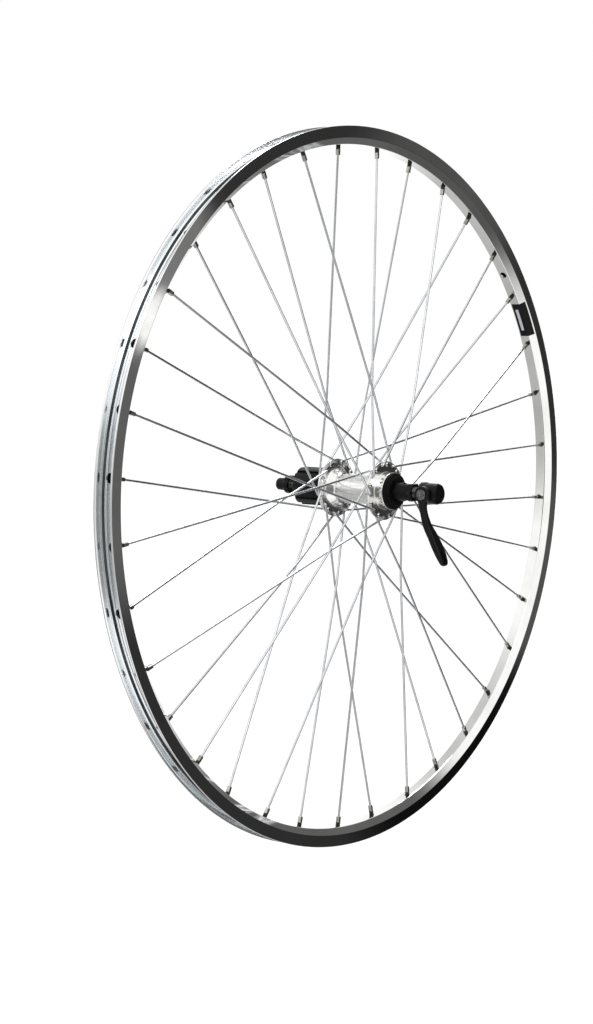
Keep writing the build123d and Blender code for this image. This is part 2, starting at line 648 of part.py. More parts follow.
with BuildPart() as freehub_bolt:
    thread_end = SPIGOT_END_Y - BOLT_THREAD_LENGTH
    head_end = BOLT_SEAT_Y + BOLT_HEAD_LENGTH
    revolve(
        outline(
            (BOLT_BORE_RADIUS, thread_end),
            (BOLT_RADIUS, thread_end),
            (BOLT_RADIUS, BOLT_SEAT_Y),
            (BOLT_HEAD_RADIUS, BOLT_SEAT_Y),
            (BOLT_HEAD_RADIUS, head_end),
            (BOLT_BORE_RADIUS, head_end),
        ),
        axis=Axis.Y,
    )
    with BuildSketch(Plane.ZX.offset(head_end)):
        RegularPolygon(BOLT_HEX / 2, 6, major_radius=False)
    extrude(amount=-BOLT_HEAD_LENGTH, mode=Mode.SUBTRACT)

with BuildPart() as dust_cap:
    cap_bore = CONE_NOSE_RADIUS + DUST_CAP_GAP
    revolve(
        ring_outline(cap_bore, DRIVE_BEARING_RADIUS, CORE_END_Y - DUST_CAP_THICKNESS, CORE_END_Y),
        axis=Axis.Y,
    )

with BuildPart() as freehub_body:
    running_bore = CORE_RADIUS + CORE_RUNNING_GAP
    with BuildSketch(Plane.ZX.offset(FREEHUB_START_Y)):
        Circle(FREEHUB_CREST_RADIUS)
        Circle(running_bore, mode=Mode.SUBTRACT)
    extrude(amount=FREEHUB_LENGTH)
    groove_depth = FREEHUB_CREST_RADIUS - FREEHUB_ROOT_RADIUS
    with BuildSketch(Plane.ZX.offset(FREEHUB_START_Y + FREEHUB_COLLAR)):
        with PolarLocations(FREEHUB_ROOT_RADIUS, SPLINES - 1, angular_range=360 - 360 / SPLINES):
            Rectangle(2 * groove_depth, SPLINE_GROOVE, align=(Align.MIN, Align.CENTER))
        with PolarLocations(FREEHUB_ROOT_RADIUS, 1, start_angle=-360 / SPLINES):
            Rectangle(2 * groove_depth, INDEX_GROOVE, align=(Align.MIN, Align.CENTER))
    extrude(amount=FREEHUB_LENGTH, mode=Mode.SUBTRACT)
    with BuildSketch(Plane.ZX.offset(FREEHUB_END_Y)):
        Circle(LOCKRING_RADIUS)
    extrude(amount=-LOCKRING_DEPTH, mode=Mode.SUBTRACT)
    tooth_base = running_bore * sin(radians(180 / RATCHET_TEETH))
    with BuildSketch(Plane.ZX.offset(FREEHUB_START_Y + RATCHET_START)):
        with PolarLocations(running_bore, RATCHET_TEETH):
            steep_foot = (-RATCHET_DEPTH, -tooth_base)
            crest = (RATCHET_DEPTH, -tooth_base)
            ramp_foot = (-RATCHET_RAMP_DROP, tooth_base)
            Polygon(steep_foot, crest, ramp_foot, align=None)
    extrude(amount=RATCHET_LENGTH, mode=Mode.SUBTRACT)


# Quick release: the lever turns the cam shaft, whose eccentric lobe draws the rod's eye outboard
with BuildPart() as cam_housing:
    bore_end = HOUSING_END_Y + HOUSING_END_WALL
    with BuildSketch(Plane.XY) as housing_outline:
        with BuildLine():
            Polyline(
                (0, bore_end),
                (HOUSING_BORE_RADIUS, bore_end),
                (HOUSING_BORE_RADIUS, HOUSING_FACE_Y),
                (HOUSING_COLLAR_RADIUS, HOUSING_FACE_Y),
                (HOUSING_COLLAR_RADIUS, HOUSING_FACE_Y - HOUSING_COLLAR_LENGTH),
                (HOUSING_RADIUS, HOUSING_FACE_Y - HOUSING_COLLAR_LENGTH),
                (HOUSING_RADIUS, HOUSING_END_Y),
                (0, HOUSING_END_Y),
                close=True,
            )
        make_face()
        rim_corner = housing_outline.vertices().group_by(Axis.Y)[0].sort_by(Axis.X)[-1]
        fillet(rim_corner, HOUSING_END_FILLET)
    revolve(axis=Axis.Y)
    with BuildSketch(Plane.YZ):
        with Locations((CAM_PIVOT_Y, 0)):
            Circle(CAM_JOURNAL_RADIUS + CAM_RUNNING_GAP)
    extrude(amount=2 * HOUSING_RADIUS, both=True, mode=Mode.SUBTRACT)

with BuildPart() as cam_shaft:
    cap_x = BOSS_INNER_X - BOSS_THICKNESS
    with BuildSketch(Plane.YZ.offset(cap_x)):
        with Locations((CAM_PIVOT_Y, 0)):
            Circle(CAM_JOURNAL_RADIUS)
    extrude(amount=HOUSING_RADIUS - cap_x)
    with BuildSketch(Plane.YZ.offset(cap_x)):
        with Locations((CAM_PIVOT_Y, 0)):
            Circle(CAM_CAP_RADIUS)
    extrude(amount=-CAM_CAP_THICKNESS)
    with BuildSketch(Plane.YZ):
        with Locations((CAM_PIVOT_Y, 0)):
            Circle(CAM_JOURNAL_RADIUS)
        with Locations((EYE_CENTRE_Y, 0)):
            Circle(CAM_LOBE_RADIUS, mode=Mode.SUBTRACT)
    extrude(amount=LOBE_LENGTH / 2, both=True, mode=Mode.SUBTRACT)

with BuildPart() as skewer_rod:
    with BuildSketch(Plane.ZX.offset(EYE_CENTRE_Y)):
        Circle(ROD_RADIUS)
    extrude(amount=NUT_END_Y - ROD_END_SETBACK - EYE_CENTRE_Y)
    with BuildSketch(Plane.YZ):
        with Locations((EYE_CENTRE_Y, 0)):
            Circle(EYE_RADIUS)
    extrude(amount=EYE_THICKNESS / 2, both=True)
    with BuildSketch(Plane.YZ):
        with Locations((EYE_CENTRE_Y, 0)):
            slot_height = 2 * (CAM_LOBE_RADIUS + CAM_THROW + CAM_RUNNING_GAP)
            slot_width = 2 * (CAM_LOBE_RADIUS + CAM_SLACK)
            SlotOverall(slot_height, slot_width, rotation=90)
    extrude(amount=EYE_THICKNESS, both=True, mode=Mode.SUBTRACT)


def lever_sections():
    """Each station of the arm: a plane across it, its width along X and its thickness."""
    middles = [
        Vector(BOSS_MIDDLE_X + inset * LEVER_INSET, CAM_PIVOT_Y - reach * LEVER_REACH, -drop * LEVER_DROP)
        for drop, reach, inset, width, thickness in LEVER_STATIONS
    ]
    befores = [middles[0], *middles]
    afters = [*middles[1:], middles[-1]]
    sections = []
    for before, middle, after, station in zip(befores, middles, afters, LEVER_STATIONS):
        across = Plane(middle, x_dir=(1, 0, 0), z_dir=Vector(0, after.Y - before.Y, after.Z - before.Z))
        sections.append((across, station[3] * LEVER_WIDTH, station[4] * LEVER_THICKNESS))
    return sections


with BuildPart() as lever:
    for across, width, thickness in lever_sections():
        with BuildSketch(across):
            RectangleRounded(width, thickness, LEVER_EDGE_SHARE * min(width, thickness))
    loft(ruled=True)
    with BuildSketch(Plane.YZ.offset(BOSS_INNER_X)):
        with Locations((CAM_PIVOT_Y, 0)):
            Circle(BOSS_RADIUS)
    extrude(amount=-BOSS_THICKNESS)
    with BuildSketch(Plane.YZ):
        with Locations((CAM_PIVOT_Y, 0)):
            Circle(CAM_JOURNAL_RADIUS + PRESS_GAP)
    extrude(amount=-2 * HOUSING_COLLAR_RADIUS, mode=Mode.SUBTRACT)

with BuildPart() as skewer_nut:
    revolve(
        outline(
            (ROD_RADIUS + THREAD_GAP, NUT_FACE_Y + NUT_RECESS_DEPTH),
            (NUT_RECESS_RADIUS, NUT_FACE_Y + NUT_RECESS_DEPTH),
            (NUT_RECESS_RADIUS, NUT_FACE_Y),
            (NUT_BASE_RADIUS, NUT_FACE_Y),
            (NUT_BASE_RADIUS, NUT_FACE_Y + NUT_BASE_LENGTH),
            (NUT_GRIP_RADIUS, NUT_FACE_Y + NUT_BASE_LENGTH + NUT_BASE_RADIUS - NUT_GRIP_RADIUS),
            (NUT_TIP_RADIUS, NUT_END_Y),
            (ROD_RADIUS + THREAD_GAP, NUT_END_Y),
        ),
        axis=Axis.Y,
    )
    with BuildSketch(Plane.ZX.offset(NUT_FACE_Y)):
        scallop_circle = NUT_BASE_RADIUS + NUT_SCALLOP_RADIUS - NUT_SCALLOP_DEPTH
        with PolarLocations(scallop_circle, NUT_SCALLOPS):
            Circle(NUT_SCALLOP_RADIUS)
    extrude(amount=NUT_BASE_LENGTH + NUT_BASE_RADIUS, mode=Mode.SUBTRACT)


def conical_spring(large_end_y, direction):
    """A wire coil round the rod: its large end lies in a recess, its small end faces the axle."""
    taper = degrees(atan((SPRING_SMALL_RADIUS - SPRING_LARGE_RADIUS) / SPRING_HEIGHT))
    with BuildPart() as spring:
        with BuildLine() as coil:
            Helix(SPRING_HEIGHT / SPRING_TURNS, SPRING_HEIGHT, SPRING_LARGE_RADIUS,
                  center=(0, large_end_y, 0), direction=(0, direction, 0), cone_angle=taper)
        with BuildSketch(Plane(coil.line @ 0, z_dir=coil.line % 0)):
            RegularPolygon(SPRING_WIRE_RADIUS, WIRE_SIDES)
        sweep(path=coil.line, is_frenet=True)
    return spring.part


with BuildPart() as nondrive_spring:
    add(conical_spring(HOUSING_FACE_Y - SPRING_HEIGHT / 2, 1))
with BuildPart() as drive_spring:
    add(conical_spring(NUT_FACE_Y + NUT_RECESS_DEPTH - SPRING_WIRE_RADIUS - PRESS_GAP, -1))

pieces = {
    "rim": rim,
    "nondrive_pulling_spokes": nondrive_pulling_spokes,
    "nondrive_pushing_spokes": nondrive_pushing_spokes,
    "drive_pulling_spokes": drive_pulling_spokes,
    "drive_pushing_spokes": drive_pushing_spokes,
    "nondrive_nipples": nondrive_nipples,
    "drive_nipples": drive_nipples,
    "hub_shell": hub_shell,
    "nondrive_outer_ring": nondrive_outer_ring,
    "nondrive_inner_ring": nondrive_inner_ring,
    "drive_outer_ring": drive_outer_ring,
    "drive_inner_ring": drive_inner_ring,
    "axle": axle,
    "nondrive_cone": nondrive_cone,
    "drive_cone": drive_cone,
    "nondrive_locknut": nondrive_locknut,
    "drive_locknut": drive_locknut,
    "dust_boot": dust_boot,
    "freehub_core": freehub_core,
    "freehub_bolt": freehub_bolt,
    "freehub_body": freehub_body,
    "pawls": pawls,
    "dust_cap": dust_cap,
    "cam_housing": cam_housing,
    "cam_shaft": cam_shaft,
    "lever": lever,
    "skewer_rod": skewer_rod,
    "skewer_nut": skewer_nut,
    "nondrive_spring": nondrive_spring,
    "drive_spring": drive_spring,
}

os.makedirs("parts", exist_ok=True)
for name, piece in pieces.items():
    piece.part.label = name
    export_step(piece.part, f"parts/{name}.step")
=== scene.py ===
import json
import logging
from collections.abc import Callable, Sequence
from dataclasses import dataclass
from enum import Enum
from math import atan, atan2, ceil, cos, degrees, hypot, pi, radians, sin, tan, tau

import bmesh
import bpy
from bpy.types import Material, Mesh, Node, NodeSocket, NodeTree, Object
from mathutils import Matrix, Vector

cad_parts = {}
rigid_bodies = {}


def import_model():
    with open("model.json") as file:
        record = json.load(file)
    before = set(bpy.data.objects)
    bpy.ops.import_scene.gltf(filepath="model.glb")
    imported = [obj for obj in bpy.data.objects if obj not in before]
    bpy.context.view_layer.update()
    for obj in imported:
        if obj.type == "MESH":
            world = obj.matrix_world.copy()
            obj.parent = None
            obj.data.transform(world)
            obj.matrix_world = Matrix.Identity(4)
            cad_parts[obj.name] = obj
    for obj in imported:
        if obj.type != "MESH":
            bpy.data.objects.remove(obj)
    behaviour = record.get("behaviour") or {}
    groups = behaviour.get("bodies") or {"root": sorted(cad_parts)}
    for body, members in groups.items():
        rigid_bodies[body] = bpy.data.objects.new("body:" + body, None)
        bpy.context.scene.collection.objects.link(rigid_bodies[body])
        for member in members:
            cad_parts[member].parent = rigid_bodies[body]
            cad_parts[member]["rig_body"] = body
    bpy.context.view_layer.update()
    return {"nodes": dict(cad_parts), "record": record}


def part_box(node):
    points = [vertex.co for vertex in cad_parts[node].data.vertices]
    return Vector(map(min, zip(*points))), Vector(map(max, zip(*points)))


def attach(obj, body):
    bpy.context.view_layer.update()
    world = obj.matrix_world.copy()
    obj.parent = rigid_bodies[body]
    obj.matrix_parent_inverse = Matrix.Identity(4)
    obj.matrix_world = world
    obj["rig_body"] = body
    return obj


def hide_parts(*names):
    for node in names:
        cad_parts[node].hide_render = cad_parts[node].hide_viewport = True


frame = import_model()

LOG = logging.getLogger("wheel")
MM = 0.001
# edges that turn by more than this many degrees stay sharp
CREASE = 32.0

# shared by the rim, the lacing and the hub shell: millimetres, and degrees from +Z towards +X
FIRST_NIPPLE = 5.39
SPOKE_COUNT = 36
SPOKE_PITCH = 360 / SPOKE_COUNT
NIPPLE_STAGGER = 1.0
FLANGE_Y = (-31.2, 22.6)
FLANGE_HALF = 1.4
SPOKE_CIRCLE = 23.0
# where the non-drive bearing and the axle's shoulder meet
BEARING_SEAT_Y = -32.2

Corner = tuple[float, float, float]
Point = tuple[float, float]
Shape = Callable[[float, float, float], float]
Hole = tuple[Vector, Vector, float, float]


class Side(Enum):
    """The two sides of the wheel, as a sign along the axle."""

    NONDRIVE = -1
    DRIVE = 1

    def node(self, kind: str) -> str:
        """The name of this side's CAD node of a kind."""
        return f"{self.name.lower()}_{kind}"


class Pattern(Enum):
    """How the fine marks of a finish lie."""

    TURNED = "rings round the axle"
    PEBBLED = "even in all directions"


def linear(code: str) -> tuple[float, float, float, float]:
    """Turns an sRGB hex colour into the linear colour that a socket takes."""
    parts = [int(code[i : i + 2], 16) / 255 for i in (1, 3, 5)]
    return (*(p / 12.92 if p <= 0.04045 else ((p + 0.055) / 1.055) ** 2.4 for p in parts), 1.0)


def add_node(tree: NodeTree, kind: str, inputs: dict | None = None, **settings: object) -> Node:
    """Adds a node to a shader or geometry tree.

    Args:
        tree: the tree that gets the node.
        kind: the node's type.
        inputs: by name or number, a constant, a socket, or a node that stands for its first output.
        settings: the node's own properties.

    Returns:
        The new node.
    """
    node = tree.nodes.new(kind)
    for key, value in settings.items():
        setattr(node, key, value)
    for key, value in (inputs or {}).items():
        source = value.outputs[0] if isinstance(value, Node) else value
        if isinstance(source, NodeSocket):
            tree.links.new(source, node.inputs[key])
        else:
            node.inputs[key].default_value = source
    return node


def empty_tree(owner: Material | bpy.types.World) -> NodeTree:
    """Turns nodes on for a material or a world and clears them.

    Args:
        owner: the material or world.

    Returns:
        Its empty tree.
    """
    owner.use_nodes = True
    owner.node_tree.nodes.clear()
    return owner.node_tree


def add_object(name: str, data: bpy.types.ID) -> Object:
    """Puts a new object with that data into the scene, at the origin.

    Args:
        name: the object's name.
        data: its mesh, light or camera.

    Returns:
        The object.
    """
    obj = bpy.data.objects.new(name, data)
    bpy.context.scene.collection.objects.link(obj)
    return obj


def plain_mesh(obj: Object) -> Mesh:
    """The object's mesh as its modifiers leave it."""
    return bpy.data.meshes.new_from_object(obj.evaluated_get(bpy.context.evaluated_depsgraph_get()))


@dataclass(frozen=True)
class Finish:
    """A real material with its surface treatment.

    Real turned, drawn and moulded marks are a few hundredths of a millimetre wide, too fine to show here.
    They are drawn some tenths wide or more.

    Attributes:
        name: the material's name.
        colour: its colour, as sRGB hex.
        shade: the colour of its patches of wear, dust or tarnish.
        roughness: the middle of its roughness.
        spread: how far the roughness wanders to either side.
        grain: size of its fine marks, in mm.
        depth: depth of its fine marks, in mm.
        patch: size of its patches, in mm.
        metallic: 1 for bare metal.
        specular: strength of the reflection of a finish that isn't metal.
        coat: weight of a clear coat.
        pattern: how the fine marks lie.
        bare: the colour that shows on rubbed edges.
        wear: how much of the edges is rubbed.
    """

    name: str
    colour: str
    shade: str
    roughness: float
    spread: float
    grain: float
    depth: float
    patch: float
    metallic: float = 0.0
    specular: float = 0.5
    coat: float = 0.0
    pattern: Pattern = Pattern.PEBBLED
    bare: str = "#f6f6f4"
    wear: float = 0.8

    # where a patch starts and is full, where an edge starts and is fully rubbed, and how far patches and
    # fine marks together range
    PATCH_RANGE = (0.38, 0.7)
    EDGE_RANGE = (0.53, 0.62)
    DULL_RANGE = (0.2, 1.5)
    COAT_ROUGHNESS = 0.06

    def grain_inputs(self, tree: NodeTree, place: NodeSocket) -> dict:
        """Gives the inputs of the noise that makes the fine marks.

        Args:
            tree: the material's tree.
            place: its Object coordinates.

        Returns:
            The noise's vector, W and scale.
        """
        fineness = 1 / (self.grain * MM)
        if self.pattern is Pattern.PEBBLED:
            return {"Vector": place, "W": 0.0, "Scale": fineness}
        # rings: the noise runs fast with the radius and along the axle, and slowly round the wheel
        axes = add_node(tree, "ShaderNodeSeparateXYZ", {"Vector": place}).outputs
        spoke = add_node(tree, "ShaderNodeCombineXYZ", {"X": axes["X"], "Z": axes["Z"]})
        radius = add_node(tree, "ShaderNodeVectorMath", {0: spoke}, operation="LENGTH").outputs["Value"]
        around = add_node(tree, "ShaderNodeVectorMath", {0: spoke}, operation="NORMALIZE")
        turn = add_node(tree, "ShaderNodeSeparateXYZ", {"Vector": around}).outputs
        rings, along = (add_node(tree, "ShaderNodeMath", {0: size, 1: fineness}, operation="MULTIPLY")
                        for size in (radius, axes["Y"]))
        vector = add_node(tree, "ShaderNodeCombineXYZ", {"X": turn["X"], "Y": rings, "Z": turn["Z"]})
        return {"Vector": vector, "W": along, "Scale": 1.0}

    def material(self) -> Material:
        """Gives the finish's node material, made on first use.

        Returns:
            The material.
        """
        made = bpy.data.materials.get(self.name)
        if made:
            return made
        made = bpy.data.materials.new(self.name)
        tree = empty_tree(made)
        place = add_node(tree, "ShaderNodeTexCoord").outputs["Object"]
        # soft patches: handled, dusty or duller places a few millimetres to centimetres across
        cloud = add_node(tree, "ShaderNodeTexNoise", {
            "Vector": place, "Scale": 1 / (self.patch * MM), "Detail": 4.0, "Roughness": 0.6})
        start, full = self.PATCH_RANGE
        worn = add_node(tree, "ShaderNodeMapRange", {0: cloud, 1: start, 2: full})
        tint = add_node(tree, "ShaderNodeMix", {0: worn, 6: linear(self.colour), 7: linear(self.shade)},
                        data_type="RGBA").outputs[2]
        # edges: rubbed brighter, here and there, where the surface turns sharply
        bend = add_node(tree, "ShaderNodeNewGeometry").outputs["Pointiness"]
        start, full = self.EDGE_RANGE
        edge = add_node(tree, "ShaderNodeMapRange", {0: bend, 1: start, 2: full, 4: self.wear})
        rubbed = add_node(tree, "ShaderNodeMath", {0: edge, 1: cloud}, operation="MULTIPLY")
        colour = add_node(tree, "ShaderNodeMix", {0: rubbed, 6: tint, 7: linear(self.bare)},
                          data_type="RGBA").outputs[2]
        # fine marks: the lathe's rings or the moulding's pebble, felt as a slight break-up of the highlight
        marks = add_node(tree, "ShaderNodeTexNoise", {**self.grain_inputs(tree, place), "Detail": 2.0},
                         noise_dimensions="4D", normalize=True)
        both = add_node(tree, "ShaderNodeMath", {0: worn, 1: marks}, operation="ADD")
        start, full = self.DULL_RANGE
        rough = add_node(tree, "ShaderNodeMapRange", {
            0: both, 1: start, 2: full, 3: self.roughness - self.spread, 4: self.roughness + self.spread})
        relief = add_node(tree, "ShaderNodeBump", {
            "Strength": 1.0, "Distance": self.depth * MM, "Height": marks})
        surface = add_node(tree, "ShaderNodeBsdfPrincipled", {
            "Base Color": colour, "Metallic": self.metallic, "Roughness": rough,
            "Specular IOR Level": self.specular, "Coat Weight": self.coat,
            "Coat Roughness": self.COAT_ROUGHNESS, "Normal": relief})
        add_node(tree, "ShaderNodeOutputMaterial", {"Surface": surface})
        return made


# turned and polished: a bright mirror, a little drawn out round the wheel
RIM_ALUMINIUM = Finish("machined_rim_aluminium", "#f3f3f2", "#e6e6e4", 0.055, 0.025, 0.5, 0.001, 45.0,
                       metallic=1.0, pattern=Pattern.TURNED)
# left as it was extruded: white satin, with soft images of the holes
CHANNEL_ALUMINIUM = Finish("satin_channel_aluminium", "#fcfeff", "#f4f8fb", 0.16, 0.01, 2.5, 0.0003, 60.0,
                           metallic=0.95, wear=0.0)
# painted shade: a dull dark line on the well's slopes, standing in for the near lip's shade and its dark
# reflection in the well
PAINTED_SHADE_ALUMINIUM = Finish("grimed_bead_line", "#2a2e30", "#5b6163", 0.34, 0.1, 0.6, 0.001, 40.0,
                          metallic=0.7, specular=0.3, pattern=Pattern.TURNED, bare="#767c7e")
# painted shade: the inside of the hollow is painted near black and matt, so that the holes stay dark
PAINTED_SHADE_CHAMBER_ALUMINIUM = Finish("dusty_chamber_aluminium", "#161514", "#24221f", 0.7, 0.15, 0.8, 0.01, 12.0,
                           specular=0.1, bare="#34322e", wear=0.3)
# turned and polished: near white, with a soft sheen
HUB_ALUMINIUM = Finish("polished_hub_aluminium", "#f7f7f5", "#e6e5e0", 0.12, 0.05, 0.35, 0.0015, 14.0,
                       metallic=1.0, pattern=Pattern.TURNED)
# drawn through a die: a silver line that is light or dark with what it faces
SPOKE_STEEL = Finish("drawn_stainless_wire", "#dfe1e4", "#c8cacd", 0.2, 0.06, 0.5, 0.002, 25.0,
                     metallic=1.0, wear=0.0)
# plated brass: warm silver, yellower where the plating is rubbed
NIPPLE_NICKEL = Finish("nickel_plated_brass", "#c6c4be", "#a7a49c", 0.22, 0.07, 0.4, 0.002, 6.0,
                       metallic=1.0, bare="#c9bb90", wear=0.5)
# painted shade: the same darkened to a short dark dot where the neck meets the rim
PAINTED_SHADE_NICKEL = Finish("grimed_nipple_neck", "#3b3834", "#2a2825", 0.4, 0.1, 0.4, 0.003, 6.0,
                       metallic=0.6, specular=0.2, bare="#6a6458", wear=0.4)
# hardened and ground: an even mid grey
BEARING_STEEL = Finish("ground_bearing_steel", "#a3a3a1", "#8b8b89", 0.22, 0.06, 0.3, 0.001, 6.0,
                       metallic=1.0, pattern=Pattern.TURNED, bare="#c4c4c2")
# turned and oiled: a darker grey with a broad sheen
AXLE_STEEL = Finish("oiled_axle_steel", "#6d6c69", "#4b4a47", 0.32, 0.1, 0.4, 0.002, 7.0,
                    metallic=1.0, pattern=Pattern.TURNED, bare="#a09f9b")
# turned and anodised: satin black with paler edges
BLACK_METAL = Finish("black_anodised_aluminium", "#08080a", "#111113", 0.32, 0.1, 0.3, 0.0015, 9.0,
                     specular=0.16, pattern=Pattern.TURNED, bare="#5c5c5f", wear=0.6)
# milled and blackened: a drier black
FREEHUB_METAL = Finish("blackened_freehub_steel", "#09090a", "#131312", 0.38, 0.1, 0.4, 0.002, 9.0,
                       specular=0.16, pattern=Pattern.TURNED, bare="#4f4f4d", wear=0.7)
# forged and painted: glossy black with a faint ripple
LEVER_METAL = Finish("glossy_black_lever_paint", "#060607", "#0d0d0f", 0.24, 0.08, 0.9, 0.004, 12.0,
                     specular=0.16, coat=0.15, bare="#3a3a3d", wear=0.4)
# turned and dulled by hands: a mid-grey disc
CAM_STEEL = Finish("dulled_cam_steel", "#868684", "#4f4f4d", 0.2, 0.07, 0.3, 0.001, 4.0,
                   metallic=1.0, bare="#b8b8b5")
# moulded rubber: deep matt black
BOOT_RUBBER = Finish("moulded_boot_rubber", "#060606", "#10100f", 0.55, 0.12, 0.5, 0.006, 7.0,
                     specular=0.12, bare="#22221f", wear=0.6)
# moulded acetal: black with a waxy sheen
CAP_PLASTIC = Finish("black_acetal_cap", "#0b0b0b", "#141413", 0.42, 0.1, 0.5, 0.003, 6.0,
                     specular=0.2, bare="#2e2e2d", wear=0.5)
# printed film: smooth black, and a pale grey bar
LABEL_VINYL = Finish("black_label_vinyl", "#08080a", "#121214", 0.3, 0.08, 0.7, 0.002, 9.0,
                     specular=0.16, bare="#303032", wear=0.5)
BAR_VINYL = Finish("pale_label_print", "#b8bcc2", "#a6aab0", 0.35, 0.08, 0.7, 0.002, 9.0,
                   specular=0.3, bare="#d6d8db", wear=0.5)


def rounded(corners: Sequence[Corner], step: float = 15.0) -> list[Point]:
    """Rounds the corners of a closed outline.

    Args:
        corners: radius from the axle, place along it and corner radius of each corner, in mm.
        step: degrees that the outline turns from point to point.

    Returns:
        The outline's points, in mm.
    """
    nearly_straight = radians(89)
    points: list[Point] = []
    for i, (r, y, fillet) in enumerate(corners):
        here = Vector((r, y))
        before = (Vector(corners[i - 1][:2]) - here).normalized()
        after = (Vector(corners[(i + 1) % len(corners)][:2]) - here).normalized()
        half = before.angle(after) / 2
        if fillet == 0 or half > nearly_straight:
            points.append((r, y))
            continue
        centre = here + (before + after).normalized() * fillet / sin(half)
        start = here + before * fillet / tan(half) - centre
        end = here + after * fillet / tan(half) - centre
        first = atan2(start.y, start.x)
        turn = (atan2(end.y, end.x) - first + pi) % tau - pi
        steps = max(2, ceil(degrees(abs(turn)) / step))
        for k in range(steps + 1):
            angle = first + turn * k / steps
            points.append((centre.x + fillet * cos(angle), centre.y + fillet * sin(angle)))
    return points


def to_mesh(bm: bmesh.types.BMesh) -> Mesh:
    """Closes the poles and seams of a built form and turns it into a mesh.

    Args:
        bm: the built form, which is freed.

    Returns:
        The mesh.
    """
    bmesh.ops.remove_doubles(bm, verts=bm.verts, dist=1e-7)
    mesh = bpy.data.meshes.new("form")
    bm.to_mesh(mesh)
    bm.free()
    return mesh


def lathe(outline: Sequence[Point], hollows: Sequence[Sequence[Point]] = (), segments: int = 96,
          angles: Sequence[float] = (), shape: Shape | None = None) -> Mesh:
    """Turns a closed outline round the axle.

    Args:
        outline: radius and place along the axle of each point, in mm.
        hollows: outlines of closed spaces inside.
        segments: steps of a full turn.
        angles: the turn's own angles, from +Z towards +X, where even steps won't do.
        shape: gives a point's radius from its outline radius, its place and its angle.

    Returns:
        The closed mesh.
    """
    bm = bmesh.new()
    turns = list(angles) or [tau * i / segments for i in range(segments)]
    for solid, loop in [(True, list(outline)), *((False, list(hollow)) for hollow in hollows)]:
        area = sum(a[0] * b[1] - b[0] * a[1] for a, b in zip(loop, loop[1:] + loop[:1]))
        loop = loop if (area > 0) == solid else loop[::-1]
        rings = []
        for turn in turns:
            radii = [shape(r, y, turn) if shape else r for r, y in loop]
            rings.append([bm.verts.new((r * sin(turn) * MM, y * MM, r * cos(turn) * MM))
                          for r, (_, y) in zip(radii, loop)])
        for here, there in zip(rings, rings[1:] + rings[:1]):
            for j, k in zip(range(len(loop)), [*range(1, len(loop)), 0]):
                if loop[j][0] > 0 or loop[k][0] > 0:
                    bm.faces.new((here[j], there[j], there[k], here[k]))
    return to_mesh(bm)


def skin(rings: Sequence[Sequence[Vector]]) -> Mesh:
    """Closes a skin over rings of points, in mm, with a cap on the first and the last ring.

    Args:
        rings: rings with the same number of points each.

    Returns:
        The closed mesh.
    """
    bm = bmesh.new()
    built = [[bm.verts.new(point * MM) for point in ring] for ring in rings]
    for here, there in zip(built, built[1:]):
        for j, k in zip(range(len(here)), [*range(1, len(here)), 0]):
            bm.faces.new((here[j], here[k], there[k], there[j]))
    bm.faces.new(built[0][::-1])
    bm.faces.new(built[-1])
    bmesh.ops.recalc_face_normals(bm, faces=bm.faces)
    return to_mesh(bm)


def joined(*meshes: Mesh) -> Mesh:
    """Puts several meshes into one.

    Args:
        meshes: the meshes, in place.

    Returns:
        The joined mesh.
    """
    bm = bmesh.new()
    for mesh in meshes:
        bm.from_mesh(mesh)
    return to_mesh(bm)


def across(mesh: Mesh, place_y: float) -> Mesh:
    """Lays a form that was turned round the axle along X instead, at a place along the axle."""
    mesh.transform(Matrix.Translation((0, place_y * MM, 0)) @ Matrix.Rotation(-pi / 2, 4, "Z"))
    return mesh


def hexagon(flats: float) -> Shape:
    """A spanner hexagon of that width across flats.

    Args:
        flats: the width across flats, in mm.

    Returns:
        The function that shapes a turned form.
    """

    def radius(r: float, _y: float, turn: float) -> float:
        """Cuts a round down to the nearest flat."""
        return min(r, flats / 2 / cos((turn + pi / 6) % (pi / 3) - pi / 6))

    return radius


def threaded(radius: float, start: float, end: float, pitch: float, depth: float) -> list[Point]:
    """Gives the crests and roots of a thread along an outline.

    Args:
        radius: the crests' radius, in mm.
        start: where the thread starts along the axle.
        end: where it ends.
        pitch: about how far it is from crest to crest.
        depth: how deep the roots lie.

    Returns:
        The outline's points.
    """
    # where a crest starts and ends, as shares of the pitch
    crest = (0.35, 0.65)
    turns = int(abs(end - start) / pitch)
    step = (end - start) / turns
    points: list[Point] = []
    for i in range(turns):
        points.append((radius - depth, start + step * i))
        points += [(radius, start + step * (i + share)) for share in crest]
    return [*points, (radius - depth, end)]


def wheel_point(radius: float, angle: float, y: float) -> Vector:
    """The point at a radius, an angle from +Z towards +X in degrees, and a place along the axle, in mm."""
    return Vector((radius * sin(radians(angle)), y, radius * cos(radians(angle))))


def span(node: str) -> tuple[float, float]:
    """Where a CAD node starts and ends along the axle, in mm."""
    low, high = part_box(node)
    return low.y / MM, high.y / MM


